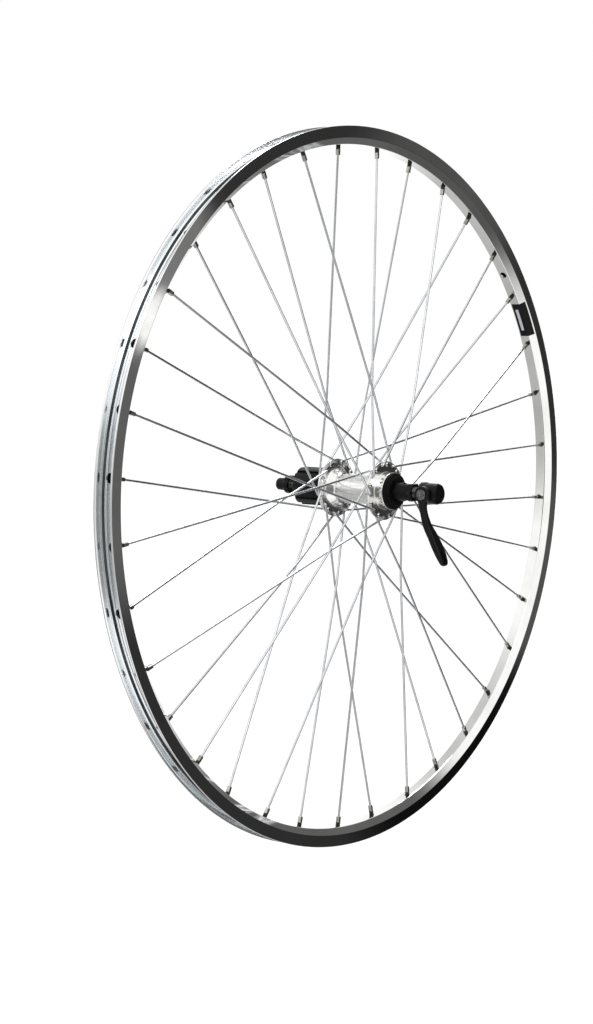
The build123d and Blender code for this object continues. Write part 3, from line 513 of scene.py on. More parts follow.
class Workshop:
    """Runs geometry trees on meshes and puts the finished pieces on the frame."""

    DRILL_SIDES = 32
    FLAT_WEIGHT = 90

    def __init__(self) -> None:
        """Notes the material slot of each CAD node."""
        self.slots = {part["node"]: part["material_slot"] for part in frame["record"]["subparts"]}

    @staticmethod
    def tree(name: str, inputs: dict[str, str]) -> tuple[NodeTree, bpy.types.NodeOutputs]:
        """Starts a geometry tree and gives it with the sockets of its named inputs, Geometry first.

        Args:
            name: the tree's name.
            inputs: the kind of socket of each further input.

        Returns:
            The tree and the sockets of its inputs.
        """
        made = bpy.data.node_groups.new(name, "GeometryNodeTree")
        made.interface.new_socket("Geometry", in_out="OUTPUT", socket_type="NodeSocketGeometry")
        for key, kind in {"Geometry": "Geometry", **inputs}.items():
            made.interface.new_socket(key, in_out="INPUT", socket_type=f"NodeSocket{kind}")
        return made, add_node(made, "NodeGroupInput").outputs

    @staticmethod
    def close_tree(tree: NodeTree, geometry: Node, paint: NodeSocket) -> None:
        """Ends a tree with real geometry that carries its material.

        Args:
            tree: the tree to end.
            geometry: the node that gives the geometry.
            paint: the socket that gives the material.
        """
        real = add_node(tree, "GeometryNodeRealizeInstances", {"Geometry": geometry})
        painted = add_node(tree, "GeometryNodeSetMaterial", {"Geometry": real, "Material": paint})
        add_node(tree, "NodeGroupOutput", {0: painted})

    @staticmethod
    def ring(tree: NodeTree, geometry: Node | NodeSocket, count: NodeSocket) -> Node:
        """Repeats geometry evenly round the axle.

        Args:
            tree: the tree that gets the nodes.
            geometry: what is repeated.
            count: the socket that gives how often.

        Returns:
            The node that gives the repeats.
        """
        points = add_node(tree, "GeometryNodePoints", {"Count": count})
        index = add_node(tree, "GeometryNodeInputIndex")
        share = add_node(tree, "ShaderNodeMath", {0: index, 1: count}, operation="DIVIDE")
        angle = add_node(tree, "ShaderNodeMath", {0: share, 1: tau}, operation="MULTIPLY")
        euler = add_node(tree, "ShaderNodeCombineXYZ", {"Y": angle})
        turn = add_node(tree, "FunctionNodeEulerToRotation", {0: euler})
        return add_node(tree, "GeometryNodeInstanceOnPoints", {
            "Points": points, "Instance": geometry, "Rotation": turn})

    @staticmethod
    def wire(tree: NodeTree, line: Node, radius: NodeSocket, sides: int) -> Node:
        """Gives a curve the thickness of a round wire."""
        circle = add_node(tree, "GeometryNodeCurvePrimitiveCircle", {"Resolution": sides, "Radius": radius})
        return add_node(tree, "GeometryNodeCurveToMesh", {
            "Curve": line, "Profile Curve": circle, "Fill Caps": True})

    @staticmethod
    def run(mesh: Mesh, tree: NodeTree, values: dict) -> Mesh:
        """Runs a tree on a mesh.

        Args:
            mesh: what the tree starts from.
            tree: the geometry tree.
            values: its named inputs.

        Returns:
            The result as a plain mesh.
        """
        obj = add_object("form", mesh)
        modifier = obj.modifiers.new("tree", "NODES")
        modifier.node_group = tree
        for item in tree.interface.items_tree:
            if item.in_out == "INPUT" and item.name in values:
                modifier[item.identifier] = values[item.name]
        result = plain_mesh(obj)
        obj.modifiers.remove(modifier)
        bpy.data.objects.remove(obj)
        return result

    def drill(self, mesh: Mesh, holes: Sequence[Hole], finish: Finish) -> Mesh:
        """Drills round holes.

        Args:
            mesh: the form to drill.
            holes: for each hole its middle, its direction, its radius and its length, in mm.
            finish: the finish of the drilled form.

        Returns:
            The drilled mesh.
        """
        tree, given = self.tree("drill", {"Holes": "Object", "Sides": "Int", "Paint": "Material"})
        info = add_node(tree, "GeometryNodeObjectInfo", {"Object": given["Holes"]})
        aim, size = (
            add_node(tree, "GeometryNodeInputNamedAttribute", {"Name": key}, data_type="FLOAT_VECTOR")
            for key in ("aim", "size"))
        bit = add_node(tree, "GeometryNodeMeshCylinder", {
            "Vertices": given["Sides"], "Radius": 1.0, "Depth": 1.0})
        turn = add_node(tree, "FunctionNodeAlignRotationToVector", {"Vector": aim}, axis="Z")
        bits = add_node(tree, "GeometryNodeInstanceOnPoints", {
            "Points": info.outputs["Geometry"], "Instance": bit, "Rotation": turn, "Scale": size})
        whole = add_node(tree, "GeometryNodeRealizeInstances", {"Geometry": bits})
        cut = add_node(tree, "GeometryNodeMeshBoolean", {"Mesh 1": given["Geometry"], "Mesh 2": whole},
                       operation="DIFFERENCE", solver="EXACT")
        self.close_tree(tree, cut, given["Paint"])
        marks = bpy.data.meshes.new("holes")
        marks.from_pydata([middle * MM for middle, *_ in holes], [], [])
        aims, sizes = (marks.attributes.new(key, "FLOAT_VECTOR", "POINT") for key in ("aim", "size"))
        for i, (_, direction, radius, length) in enumerate(holes):
            aims.data[i].vector = direction
            sizes.data[i].vector = (radius * MM, radius * MM, length * MM)
        places = add_object("holes", marks)
        result = self.run(mesh, tree, {
            "Holes": places, "Sides": self.DRILL_SIDES, "Paint": finish.material()})
        bpy.data.objects.remove(places)
        return result

    def present(self, node: str, mesh: Mesh, finish: Finish, name: str = "",
                crease: float = CREASE) -> Object:
        """Shades a finished mesh, paints it and puts it on the frame.

        Args:
            node: the CAD node that it stands for, or that it lies on if it has a name of its own.
            mesh: its mesh, in place.
            finish: its finish.
            name: its own name.
            crease: edges that turn by more than this many degrees stay sharp.

        Returns:
            The piece.
        """
        mesh.shade_smooth()
        mesh.set_sharp_from_angle(angle=radians(crease))
        mesh.materials.clear()
        mesh.materials.append(finish.material())
        mesh.polygons.foreach_set("material_index", [0] * len(mesh.polygons))
        obj = add_object(name or f"{node}_visual", mesh)
        # flat faces keep their own normal beside a rounded edge, so that they reflect as flats
        weighted = obj.modifiers.new("flats", "WEIGHTED_NORMAL")
        weighted.keep_sharp = True
        weighted.weight = self.FLAT_WEIGHT
        obj.data = plain_mesh(obj)
        obj.modifiers.remove(weighted)
        obj.data.name = obj.name
        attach(obj, frame["nodes"][node]["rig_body"])
        if not name:
            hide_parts(node)
        LOG.info("%s: %d faces, %s", obj.name, len(obj.data.polygons), finish.name)
        return obj

    @staticmethod
    def dress(piece: Object, choose: Callable[[Vector], Finish]) -> None:
        """Gives each face of a painted piece the finish that is right for its middle's place, in mm.

        Args:
            piece: the piece, which has one finish so far.
            choose: gives the finish at a place.
        """
        slots = {piece.data.materials[0].name: 0}
        for face in piece.data.polygons:
            finish = choose(face.center / MM)
            if finish.name not in slots:
                slots[finish.name] = len(slots)
                piece.data.materials.append(finish.material())
            face.material_index = slots[finish.name]

    def keep(self, node: str, finish: Finish) -> None:
        """Shades and paints a CAD node that shows as it is.

        Args:
            node: the CAD node.
            finish: its finish.
        """
        obj = frame["nodes"][node]
        obj.data.shade_smooth()
        obj.data.set_sharp_from_angle(angle=radians(CREASE))
        obj.data.materials.clear()
        obj.data.materials.append(finish.material())
        LOG.info("%s: kept, %s", node, finish.name)


@dataclass
class Rim:
    """The clincher rim and the plain label on its spoke bed. Sizes in mm."""

    bed_radius: float = 301.1
    bed_half_width: float = 5.0
    bed_wall: float = 1.4
    shoulder_radius: float = 306.7
    seat_radius: float = 311.0
    seat_width: float = 1.4
    well_radius: float = 308.0
    well_wall: float = 1.3
    well_round: float = 0.9
    lip_wall: float = 1.55
    hook: float = 0.65
    hook_height: float = 1.2
    chamber_half_widths: Point = (4.0, 7.6)
    # the radii between which a dark line of painted shade lies on the well's slopes
    shade_line: Point = (308.9, 310.7)
    # how far inside the rim's sides that painted shade line stops
    shade_line_inset: float = 2.5
    # radius of each kind of hole, radius of the wheel at its middle, and its length
    nipple_hole: tuple[float, float, float] = (2.3, 302.0, 4.0)
    access_hole: tuple[float, float, float] = (4.2, 308.5, 6.0)
    valve_hole: tuple[float, float, float] = (3.25, 305.0, 14.0)
    # in spaces between nipples, from the first nipple
    valve_place: float = 4.5
    label_arc: Point = (57.0, 63.8)
    label_flat: Sequence[float] = (4.0, 2.0, 0.0, -2.0, -4.0)
    label_corner: Sequence[Point] = ((301.2, -4.95), (301.5, -5.36))
    label_rise: Sequence[float] = (302.2, 303.4, 304.6, 305.8)
    label_lift: float = 0.08
    bar_half_width: float = 1.6
    bar_half_arc: float = 2.2
    bar_lift: float = 0.12
    segments: int = 432

    # how far the zone of a finish reaches past the walls that bound it
    ZONE_MARGIN = 0.1

    def __post_init__(self) -> None:
        """Takes the outer sizes from the CAD rim."""
        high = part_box("rim")[1]
        self.radius = high.x / MM
        self.half_width = high.y / MM
        self.chamber_radii = (self.bed_radius + self.bed_wall, self.well_radius - self.well_wall)

    def section(self) -> list[Point]:
        """The rim's outside: spoke bed, shoulders, brake tracks, hooked lips, seats and well.

        Returns:
            The outline's points.
        """
        lip = self.half_width - self.lip_wall
        seat_edge = lip - self.seat_width
        slope = (seat_edge - self.bed_half_width) / (self.seat_radius - self.well_radius)
        # a point on the slope where the painted shade line starts, so that the faces break there
        shade_line_y = self.bed_half_width + slope * (self.shade_line[0] - self.well_radius)
        half = [
            (self.bed_radius, self.bed_half_width, 1.2),
            (self.shoulder_radius, self.half_width, 0.7),
            (self.radius, self.half_width, 0.6),
            (self.radius, lip, 0.3),
            (self.radius - self.hook_height, lip - self.hook, 0.35),
            (self.radius - 2 * self.hook_height, lip, 0.4),
            (self.seat_radius, lip, 0.5),
            (self.seat_radius, seat_edge, 0.4),
            (self.shade_line[0], shade_line_y, 0.0),
            (self.well_radius, self.bed_half_width, self.well_round),
        ]
        return rounded([*half, *((r, -y, fillet) for r, y, fillet in reversed(half))])

    def chamber(self) -> list[Point]:
        """The hollow between the rim's two walls."""
        half = list(zip(self.chamber_radii, self.chamber_half_widths))
        return rounded([*((r, -y, 0.4) for r, y in half), *((r, y, 0.4) for r, y in reversed(half))], 45)

    def finish(self, place: Vector) -> Finish:
        """The finish at a place on the rim.

        Args:
            place: the middle of a face, in mm.

        Returns:
            The finish of that face.
        """
        radius, width = hypot(place.x, place.z), abs(place.y)
        # painted shade: faces on the well's slopes between those radii take the dark line finish
        if self.shade_line[0] < radius < self.shade_line[1] and width < self.half_width - self.shade_line_inset:
            return PAINTED_SHADE_ALUMINIUM
        lip = self.half_width - self.lip_wall + self.ZONE_MARGIN
        if radius > self.well_radius - self.well_round and width < lip:
            return CHANNEL_ALUMINIUM
        # painted shade: faces inside the hollow take the near-black chamber finish
        (low, high), (narrow, wide) = self.chamber_radii, self.chamber_half_widths
        wall = narrow + (wide - narrow) * (radius - low) / (high - low) + 2 * self.ZONE_MARGIN
        inside = low - self.ZONE_MARGIN < radius < high + self.ZONE_MARGIN and width < wall
        return PAINTED_SHADE_CHAMBER_ALUMINIUM if inside else RIM_ALUMINIUM

    def holes(self) -> list[Hole]:
        """Nipple holes in the bed, access holes in the well and the valve hole through both.

        Returns:
            For each hole its middle, direction, radius and length.
        """
        drills = [(k, NIPPLE_STAGGER * (-1 if k % 2 == 0 else 1), *hole)
                  for k in range(SPOKE_COUNT) for hole in (self.nipple_hole, self.access_hole)]
        drills.append((self.valve_place, 0.0, *self.valve_hole))
        found = []
        for k, y, radius, middle, length in drills:
            angle = FIRST_NIPPLE + SPOKE_PITCH * k
            found.append((wheel_point(middle, angle, y), wheel_point(1, angle, 0), radius, length))
        return found

    @staticmethod
    def film(path: Sequence[Point], arc: Point, lift: float, steps: int = 24) -> Mesh:
        """A thin film on the rim.

        Args:
            path: the line across the rim's face that it follows.
            arc: the angles between which it lies.
            lift: its height above the rim.
            steps: how many stretches the arc has.

        Returns:
            The film's mesh.
        """
        over = []
        for i, (r, y) in enumerate(path):
            before, after = path[max(i - 1, 0)], path[min(i + 1, len(path) - 1)]
            along = Vector((after[0] - before[0], after[1] - before[1])).normalized()
            over.append((r + along.y * lift, y - along.x * lift))
        loop = [*path, *reversed(over)]
        angles = [arc[0] + (arc[1] - arc[0]) * i / steps for i in range(steps + 1)]
        return skin([[wheel_point(r, angle, y) for r, y in loop] for angle in angles])

    def build(self, shop: Workshop) -> None:
        """Makes the rim and its label, which runs across the bed and up the near shoulder.

        Args:
            shop: the workshop that presents the pieces.
        """
        form = lathe(self.section(), [self.chamber()], self.segments)
        rim = shop.present("rim", shop.drill(form, self.holes(), RIM_ALUMINIUM), RIM_ALUMINIUM)
        shop.dress(rim, self.finish)
        slope = (self.half_width - self.bed_half_width) / (self.shoulder_radius - self.bed_radius)
        path = [(self.bed_radius - 0.01, y) for y in self.label_flat]
        path += self.label_corner
        path += [(r, -self.bed_half_width - slope * (r - self.bed_radius)) for r in self.label_rise]
        shop.present("rim", self.film(path, self.label_arc, self.label_lift), LABEL_VINYL, "rim_label")
        bar = [(self.bed_radius - 0.02, self.bar_half_width * share) for share in (1, 0, -1)]
        middle = sum(self.label_arc) / 2
        arc = (middle - self.bar_half_arc, middle + self.bar_half_arc)
        shop.present("rim", self.film(bar, arc, self.bar_lift), BAR_VINYL, "rim_label_bar")


@dataclass
class Lacing:
    """The thirty-six spokes, laced three-cross, and their nipples. Sizes in mm."""

    crossings: int = 3
    rim_radius: float = 301.8
    wire: float = 1.0
    wire_sides: int = 14
    head: float = 2.1
    crown: float = 1.386
    head_height: float = 1.0
    head_seat: float = 0.1
    elbow_seat: float = 0.5
    cross_gap: float = 0.1
    elbow_bend: float = 2.0
    cross_bend: float = 40.0
    spoke_end: float = 2.0
    nipple_bore: float = 1.02
    nipple_flat: float = 3.25
    nipple_corner: float = 2.05
    nipple_round: float = 1.95
    nipple_head: float = 2.9
    nipple_reach: float = 9.5
    nipple_neck: float = 4.4
    nipple_sides: int = 32

    # in the order of their first nipples
    SETS = (
        "nondrive_pulling_spokes", "drive_pushing_spokes",
        "nondrive_pushing_spokes", "drive_pulling_spokes",
    )

    def corners(self, k: int) -> tuple[Vector, Vector, Vector, Vector]:
        """Head, elbow, last crossing and nipple hole of a spoke, by its nipple's number.

        Args:
            k: the nipple's number, from 0.

        Returns:
            The four points, in mm.
        """
        lace = 2 * self.crossings * SPOKE_PITCH
        side = -1 if k % 2 == 0 else 1
        turn, face = (-1, side) if k % 4 in (0, 3) else (1, -side)
        flange = FLANGE_Y[side > 0]
        rim_angle = FIRST_NIPPLE + SPOKE_PITCH * k
        share = sin(radians(lace - SPOKE_PITCH)) / self.rim_radius + sin(radians(SPOKE_PITCH)) / SPOKE_CIRCLE
        hole = wheel_point(SPOKE_CIRCLE, rim_angle + turn * lace, flange)
        end = wheel_point(self.rim_radius, rim_angle, side * NIPPLE_STAGGER)
        cross = wheel_point(sin(radians(lace)) / share, rim_angle + turn * SPOKE_PITCH, 0)
        along = (cross.x - hole.x) / (end.x - hole.x)
        cross.y = flange + along * (end.y - flange) - face * (self.wire + self.cross_gap / 2)
        head = hole + Vector((0, -face * (FLANGE_HALF + self.head_seat + self.head_height), 0))
        elbow = hole + Vector((0, face * (FLANGE_HALF + self.elbow_seat + self.wire), 0))
        return head, elbow, cross, end

    def wire_tree(self, shop: Workshop) -> NodeTree:
        """Bends a line at its corners, makes it a wire with a head and repeats that round the wheel.

        Args:
            shop: the workshop that starts and ends the tree.

        Returns:
            The geometry tree.
        """
        tree, given = shop.tree("lace", {
            "Wire": "Float", "Head": "Float", "Crown": "Float", "Head Height": "Float", "Count": "Int",
            "Paint": "Material"})
        bend = add_node(tree, "GeometryNodeInputNamedAttribute", {"Name": "bend"}, data_type="FLOAT")
        line = add_node(tree, "GeometryNodeMeshToCurve", {"Mesh": given["Geometry"]})
        bent = add_node(tree, "GeometryNodeFilletCurve", {
            "Curve": line, "Count": 8, "Radius": bend, "Limit Radius": True}, mode="POLY")
        wire = shop.wire(tree, bent, given["Wire"], self.wire_sides)
        place = add_node(tree, "GeometryNodeInputPosition")
        start, elbow = (add_node(tree, "GeometryNodeSampleIndex", {
            "Geometry": given["Geometry"], "Value": place, "Index": index}, data_type="FLOAT_VECTOR")
            for index in (0, 1))
        along = add_node(tree, "ShaderNodeVectorMath", {0: elbow, 1: start}, operation="SUBTRACT")
        aim = add_node(tree, "FunctionNodeAlignRotationToVector", {"Vector": along}, axis="Z")
        button = add_node(tree, "GeometryNodeMeshCone", {
            "Vertices": 20, "Radius Bottom": given["Crown"], "Radius Top": given["Head"],
            "Depth": given["Head Height"]})
        seated = add_node(tree, "GeometryNodeTransform", {
            "Geometry": button, "Translation": start, "Rotation": aim})
        whole = add_node(tree, "GeometryNodeJoinGeometry", {0: wire})
        tree.links.new(seated.outputs[0], whole.inputs[0])
        shop.close_tree(tree, shop.ring(tree, whole, given["Count"]), given["Paint"])
        return tree

    def spoke_line(self, k: int) -> Mesh:
        """The corners of a spoke's centre line, with the bend that each corner takes.

        Args:
            k: the nipple's number, from 0.

        Returns:
            The line's mesh, with its bends as an attribute.
        """
        head, elbow, cross, end = self.corners(k)
        tip = end + (end - cross).normalized() * self.spoke_end
        mesh = bpy.data.meshes.new("spoke")
        mesh.from_pydata([p * MM for p in (head, elbow, cross, tip)], [(0, 1), (1, 2), (2, 3)], [])
        bend = mesh.attributes.new("bend", "FLOAT", "POINT")
        bend.data.foreach_set("value", [0.0, self.elbow_bend * MM, self.cross_bend * MM, 0.0])
        return mesh

    def nipple(self, k: int) -> Mesh:
        """A nipple: square with rounded corners for the spanner, then round, with a head inside the rim.

        Args:
            k: the nipple's number, from 0.

        Returns:
            The nipple's mesh, in place.
        """
        _, _, cross, end = self.corners(k)
        out = (end - cross).normalized()
        flat = Vector((0, 1, 0)).cross(out).normalized()
        over = out.cross(flat)
        half = self.nipple_flat / 2
        # place along the spoke from the rim's bed, radius, and whether the spanner's square cuts it
        profile = (
            (-self.nipple_reach, self.nipple_bore, False), (-self.nipple_reach, 1.5, False),
            (-self.nipple_reach + 0.35, self.nipple_corner, True), (-4.6, self.nipple_corner, True),
            (-4.2, self.nipple_round, False), (1.0, self.nipple_round, False),
            (1.25, self.nipple_head, False), (2.4, self.nipple_head, False), (2.75, 2.3, False))
        rings = []
        for along, radius, square in profile:
            ring = []
            for i in range(self.nipple_sides):
                turn = tau * i / self.nipple_sides
                u, v = radius * cos(turn), radius * sin(turn)
                if square:
                    u, v = max(-half, min(half, u)), max(-half, min(half, v))
                ring.append(end + out * along + flat * u + over * v)
            rings.append(ring)
        return skin(rings)

    def nipple_finish(self, place: Vector) -> Finish:
        """The finish at a place on a nipple, whose neck at the rim is painted dark as shade."""
        # painted shade: the part within the neck's length of the rim takes the dark finish
        neck = hypot(place.x, place.z) > self.rim_radius - self.nipple_neck
        return PAINTED_SHADE_NICKEL if neck else NIPPLE_NICKEL

    def build(self, shop: Workshop) -> None:
        """Makes the four sets of spokes and the two sets of nipples.

        Args:
            shop: the workshop that presents the pieces.
        """
        wires = self.wire_tree(shop)
        repeats = SPOKE_COUNT // len(self.SETS)
        for k, node in enumerate(self.SETS):
            mesh = shop.run(self.spoke_line(k), wires, {
                "Wire": self.wire * MM, "Head": self.head * MM, "Crown": self.crown * MM,
                "Head Height": self.head_height * MM, "Count": repeats, "Paint": SPOKE_STEEL.material()})
            shop.present(node, mesh, SPOKE_STEEL)
        tree, given = shop.tree("around the wheel", {"Count": "Int", "Paint": "Material"})
        shop.close_tree(tree, shop.ring(tree, given["Geometry"], given["Count"]), given["Paint"])
        for side, pair in ((Side.NONDRIVE, (0, 2)), (Side.DRIVE, (1, 3))):
            mesh = shop.run(joined(*(self.nipple(k) for k in pair)), tree, {
                "Count": repeats, "Paint": NIPPLE_NICKEL.material()})
            shop.dress(shop.present(side.node("nipples"), mesh, NIPPLE_NICKEL), self.nipple_finish)


@dataclass
class HubShell:
    """The turned shell with its two drilled flanges. Sizes in mm."""

    flange_radius: float = 26.0
    bevel_run: float = 2.4
    bevel_drop: float = 0.75
    neck: float = 17.5
    neck_length: float = 7.0
    barrel: float = 13.5
    housing: float = 16.4
    boss: float = 18.0
    bore: float = 8.5
    bearing: float = 13.02
    spigot: float = 10.22
    spigot_depth: float = 11.0
    hole_radius: float = 1.3
    hole_length: float = 6.0
    hole_shifts: Point = (-60.0, 70.0)
    crease: float = 36.0

    def flange(self, y: float) -> list[Corner]:
        """A flange's bevelled edge.

        Args:
            y: the flange's middle along the axle.

        Returns:
            The corners of its outline.
        """
        face = self.flange_radius - self.bevel_run
        rise = FLANGE_HALF - self.bevel_drop
        return [(face, y - FLANGE_HALF, 0.6), (self.flange_radius, y - rise, 0.3),
                (self.flange_radius, y + rise, 0.3), (face, y + FLANGE_HALF, 0.6)]

    def build(self, shop: Workshop) -> None:
        """Makes the shell.

        Args:
            shop: the workshop that presents the pieces.
        """
        start, end = span("hub_shell")
        near, far = FLANGE_Y
        outline = rounded([
            (self.bearing, start, 0.3), (self.housing, start, 0.6),
            (self.housing, near - FLANGE_HALF, 1.0), *self.flange(near),
            (self.neck, near + FLANGE_HALF, 2.2),
            (self.barrel, near + FLANGE_HALF + self.neck_length, 5.0),
            (self.barrel, far - FLANGE_HALF - self.neck_length, 5.0),
            (self.neck, far - FLANGE_HALF, 2.2), *self.flange(far),
            (self.boss, far + FLANGE_HALF, 0.8), (self.boss, end, 0.5),
            (self.spigot, end, 0.2), (self.spigot, end - self.spigot_depth, 0.0),
            (self.bore, end - self.spigot_depth, 0.0), (self.bore, BEARING_SEAT_Y, 0.0),
            (self.bearing, BEARING_SEAT_Y, 0.0)], 10)
        drilled = []
        for y, shift in zip(FLANGE_Y, self.hole_shifts):
            for i in range(SPOKE_COUNT // 2):
                middle = wheel_point(SPOKE_CIRCLE, FIRST_NIPPLE + shift + 2 * SPOKE_PITCH * i, y)
                drilled.append((middle, Vector((0, 1, 0)), self.hole_radius, self.hole_length))
        mesh = shop.drill(lathe(outline, segments=144), drilled, HUB_ALUMINIUM)
        shop.present("hub_shell", mesh, HUB_ALUMINIUM, crease=self.crease)


@dataclass
class AxleSet:
    """The axle with its cones, locknuts and dust boot. Sizes in mm."""

    axle: float = 5.0
    axle_bore: float = 2.75
    axle_chamfer: float = 0.5
    thread_pitch: float = 1.0
    thread_depth: float = 0.3
    thread_ends: Point = (-46.0, 59.0)
    shoulder: float = 5.6
    shoulder_end: float = 51.4
    clearance: float = 0.05
    cone: float = 8.0
    cone_flats: float = 14.0
    flat_length: float = 7.0
    drive_cone: float = 7.5
    nose: float = 6.8
    nose_lengths: Point = (1.2, 2.0)
    locknut_flats: float = 15.0
    # how far each reaches across and along the axle
    locknut_chamfer: Point = (1.3, 0.75)
    countersink: Point = (0.7, 0.6)
    boot: float = 15.8
    boot_lip: float = 12.2
    boot_band: float = 2.2
    boot_ribs: int = 3
    rib_depth: float = 0.75

    def build(self, shop: Workshop) -> None:
        """Makes the pieces that stay still on the axle.

        Args:
            shop: the workshop that presents the pieces.
        """
        low, high = span("axle")
        near, far = self.thread_ends
        root, chamfer = self.axle - self.thread_depth, self.axle_chamfer
        shaft = [(self.axle_bore, low), (root, low),
                 *threaded(self.axle, low + chamfer, near, self.thread_pitch, self.thread_depth),
                 (self.axle, near + chamfer), (self.axle, BEARING_SEAT_Y), (self.shoulder, BEARING_SEAT_Y),
                 (self.shoulder, self.shoulder_end), (self.axle, self.shoulder_end),
                 *threaded(self.axle, far, high - chamfer, self.thread_pitch, self.thread_depth),
                 (root, high), (self.axle_bore, high)]
        shop.present("axle", lathe(shaft, segments=64), AXLE_STEEL)
        self.build_cones(shop)
        self.build_locknuts(shop)
        self.build_boot(shop)

    def build_cones(self, shop: Workshop) -> None:
        """Makes the two cones: the non-drive one has spanner flats.

        Args:
            shop: the workshop that presents the pieces.
        """
        start, end = span("nondrive_cone")
        flat_end = start + self.flat_length
        bore = self.axle + self.clearance

        def flats(r: float, y: float, turn: float) -> float:
            """Two flats at the outer end, up and down."""
            return min(r, self.cone_flats / 2 / max(abs(cos(turn)), 1e-6)) if y <= flat_end else r

        step = end - self.nose_lengths[0]
        outline = rounded([(bore, start, 0.0), (self.cone, start, 0.4), (self.cone, flat_end, 0.0),
                           (self.cone, flat_end + 0.02, 0.0), (self.cone, step, 0.3), (self.nose, step, 0.2),
                           (self.nose, end, 0.2), (bore, end, 0.0)])
        shop.present("nondrive_cone", lathe(outline, segments=120, shape=flats), BLACK_METAL)
        start, end = span("drive_cone")
        step = start + self.nose_lengths[1]
        outline = rounded([(bore, start, 0.0), (self.nose, start, 0.2), (self.nose, step, 0.2),
                           (self.drive_cone, step, 0.3), (self.drive_cone, end, 0.3), (bore, end, 0.0)])
        shop.present("drive_cone", lathe(outline, segments=72), BLACK_METAL)

    def build_locknuts(self, shop: Workshop) -> None:
        """Makes the two hexagonal locknuts, each chamfered at its outer end.

        Args:
            shop: the workshop that presents the pieces.
        """
        bore = self.axle + self.clearance
        corner = self.locknut_flats / 2 / cos(pi / 6)
        (cut, cut_length), (sink, sink_depth) = self.locknut_chamfer, self.countersink
        for side in Side:
            inner, outer = span(side.node("locknut"))[:: side.value]
            outline = rounded([
                (bore, inner, 0.2), (corner, inner, 0.2), (corner, outer - side.value * cut_length, 0.0),
                (corner - cut, outer, 0.15), (self.axle + sink, outer, 0.15),
                (bore, outer - side.value * sink_depth, 0.0)])
            nut = lathe(outline, segments=96, shape=hexagon(self.locknut_flats))
            shop.present(side.node("locknut"), nut, BLACK_METAL)

    def build_boot(self, shop: Workshop) -> None:
        """Makes the ribbed dust boot, which narrows towards the locknut.

        Args:
            shop: the workshop that presents the pieces.
        """
        start, end = span("dust_boot")
        bore, spread = self.cone + 0.02, self.boot_ribs + 0.2
        band = end - self.boot_band
        step = (band - 0.2 - start) / spread
        ribs: list[Corner] = []
        for i in range(self.boot_ribs):
            radius = self.boot - (self.boot - self.boot_lip) * (i + 0.2) / spread
            rib = band - 0.1 - step * i
            ribs += [(radius, rib, 0.2), (radius - self.rib_depth, rib - step * 0.3, 0.15)]
        outline = rounded([
            (bore, end, 0.2), (self.boot, end, 0.5), (self.boot, band, 0.5), *ribs,
            (self.boot_lip, start, 0.5), (self.cone + 0.9, start, 0.3), (bore, start + 0.7, 0.0)])
        shop.present("dust_boot", lathe(outline, segments=96), BOOT_RUBBER)


@dataclass
class Freehub:
    """The splined body with its dust cap; the works inside it show as they are. Sizes in mm."""

    crest: float = 17.1
    root: float = 15.8
    bore: float = 13.26
    collar: float = 3.0
    splines: int = 9
    groove: float = 5.4
    index_groove: float = 3.2
    # the turn over which a groove's wall falls, in radians
    groove_wall: float = 0.004
    lockring: float = 14.9
    lockring_depth: float = 7.0
    thread_pitch: float = 1.0
    thread_depth: float = 0.35
    chamfer: float = 0.6
    cap_bore: float = 7.2
    cap_groove: Point = (8.2, 9.3)
    cap_groove_depth: float = 0.35
    cap_groove_slope: float = 0.3

    def groove_edges(self) -> list[Point]:
        """The angles between which each groove lies, in radians from +Z towards +X.

        Returns:
            The first and the last angle of each groove.
        """
        edges = []
        for i in range(self.splines):
            half = (self.index_groove if i == self.splines - 1 else self.groove) / 2
            middle = tau / self.splines * i
            edges.append((middle - atan(half / self.root), middle + atan(half / self.root)))
        return edges

    def build(self, shop: Workshop) -> None:
        """Makes the body and the cap, and paints the bearings, core, bolt and pawls.

        Args:
            shop: the workshop that presents the pieces.
        """
        self.build_body(shop)
        start, end = span("dust_cap")
        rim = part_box("dust_cap")[1].x / MM
        inner, outer = self.cap_groove
        floor = end - self.cap_groove_depth
        outline = rounded([
            (self.cap_bore, start, 0.1), (rim, start, 0.2), (rim, end, 0.3),
            (outer + self.cap_groove_slope, end, 0.2), (outer, floor, 0.1), (inner, floor, 0.1),
            (inner - self.cap_groove_slope, end, 0.2), (self.cap_bore, end, 0.2)])
        shop.present("dust_cap", lathe(outline, segments=72), CAP_PLASTIC)
        rings = [side.node(f"{place}_ring") for side in Side for place in ("outer", "inner")]
        for node in (*rings, "pawls"):
            shop.keep(node, BEARING_STEEL)
        for node in ("freehub_core", "freehub_bolt"):
            shop.keep(node, AXLE_STEEL)

    def build_body(self, shop: Workshop) -> None:
        """Makes the splined body, with the lockring's thread in its end.

        Args:
            shop: the workshop that presents the pieces.
        """
        start, end = span("freehub_body")
        collar_end = start + self.collar
        edges = self.groove_edges()
        wall = self.groove_wall
        angles = []
        for (low, high), following in zip(edges, [*edges[1:], (edges[0][0] + tau, 0.0)]):
            angles += [low, low + wall, *(low + (high - low) * i / 5 for i in range(1, 5)), high - wall, high]
            angles += [high + (following[0] - high) * i / 6 for i in range(1, 6)]

        def grooved(r: float, y: float, turn: float) -> float:
            """The crests fall to the roots inside a groove, past the collar."""
            inside = any(low + wall / 2 < turn < high - wall / 2 for low, high in edges)
            return min(r, self.root) if inside and y > collar_end + 0.01 else r

        thread = threaded(
            self.lockring, end - 0.5, end - self.lockring_depth, self.thread_pitch, self.thread_depth)
        outline = rounded([
            (self.bore, start, 0.3), (self.crest, start, 0.5), (self.crest, collar_end, 0.0),
            (self.crest, collar_end + 0.03, 0.0), (self.crest, end - self.chamfer, 0.0),
            (self.crest - self.chamfer, end, 0.0),
            (self.lockring, end, 0.0), *((r, y, 0.0) for r, y in thread),
            (self.bore, end - self.lockring_depth, 0.0)])
        shop.present("freehub_body", lathe(outline, angles=angles, shape=grooved), FREEHUB_METAL)


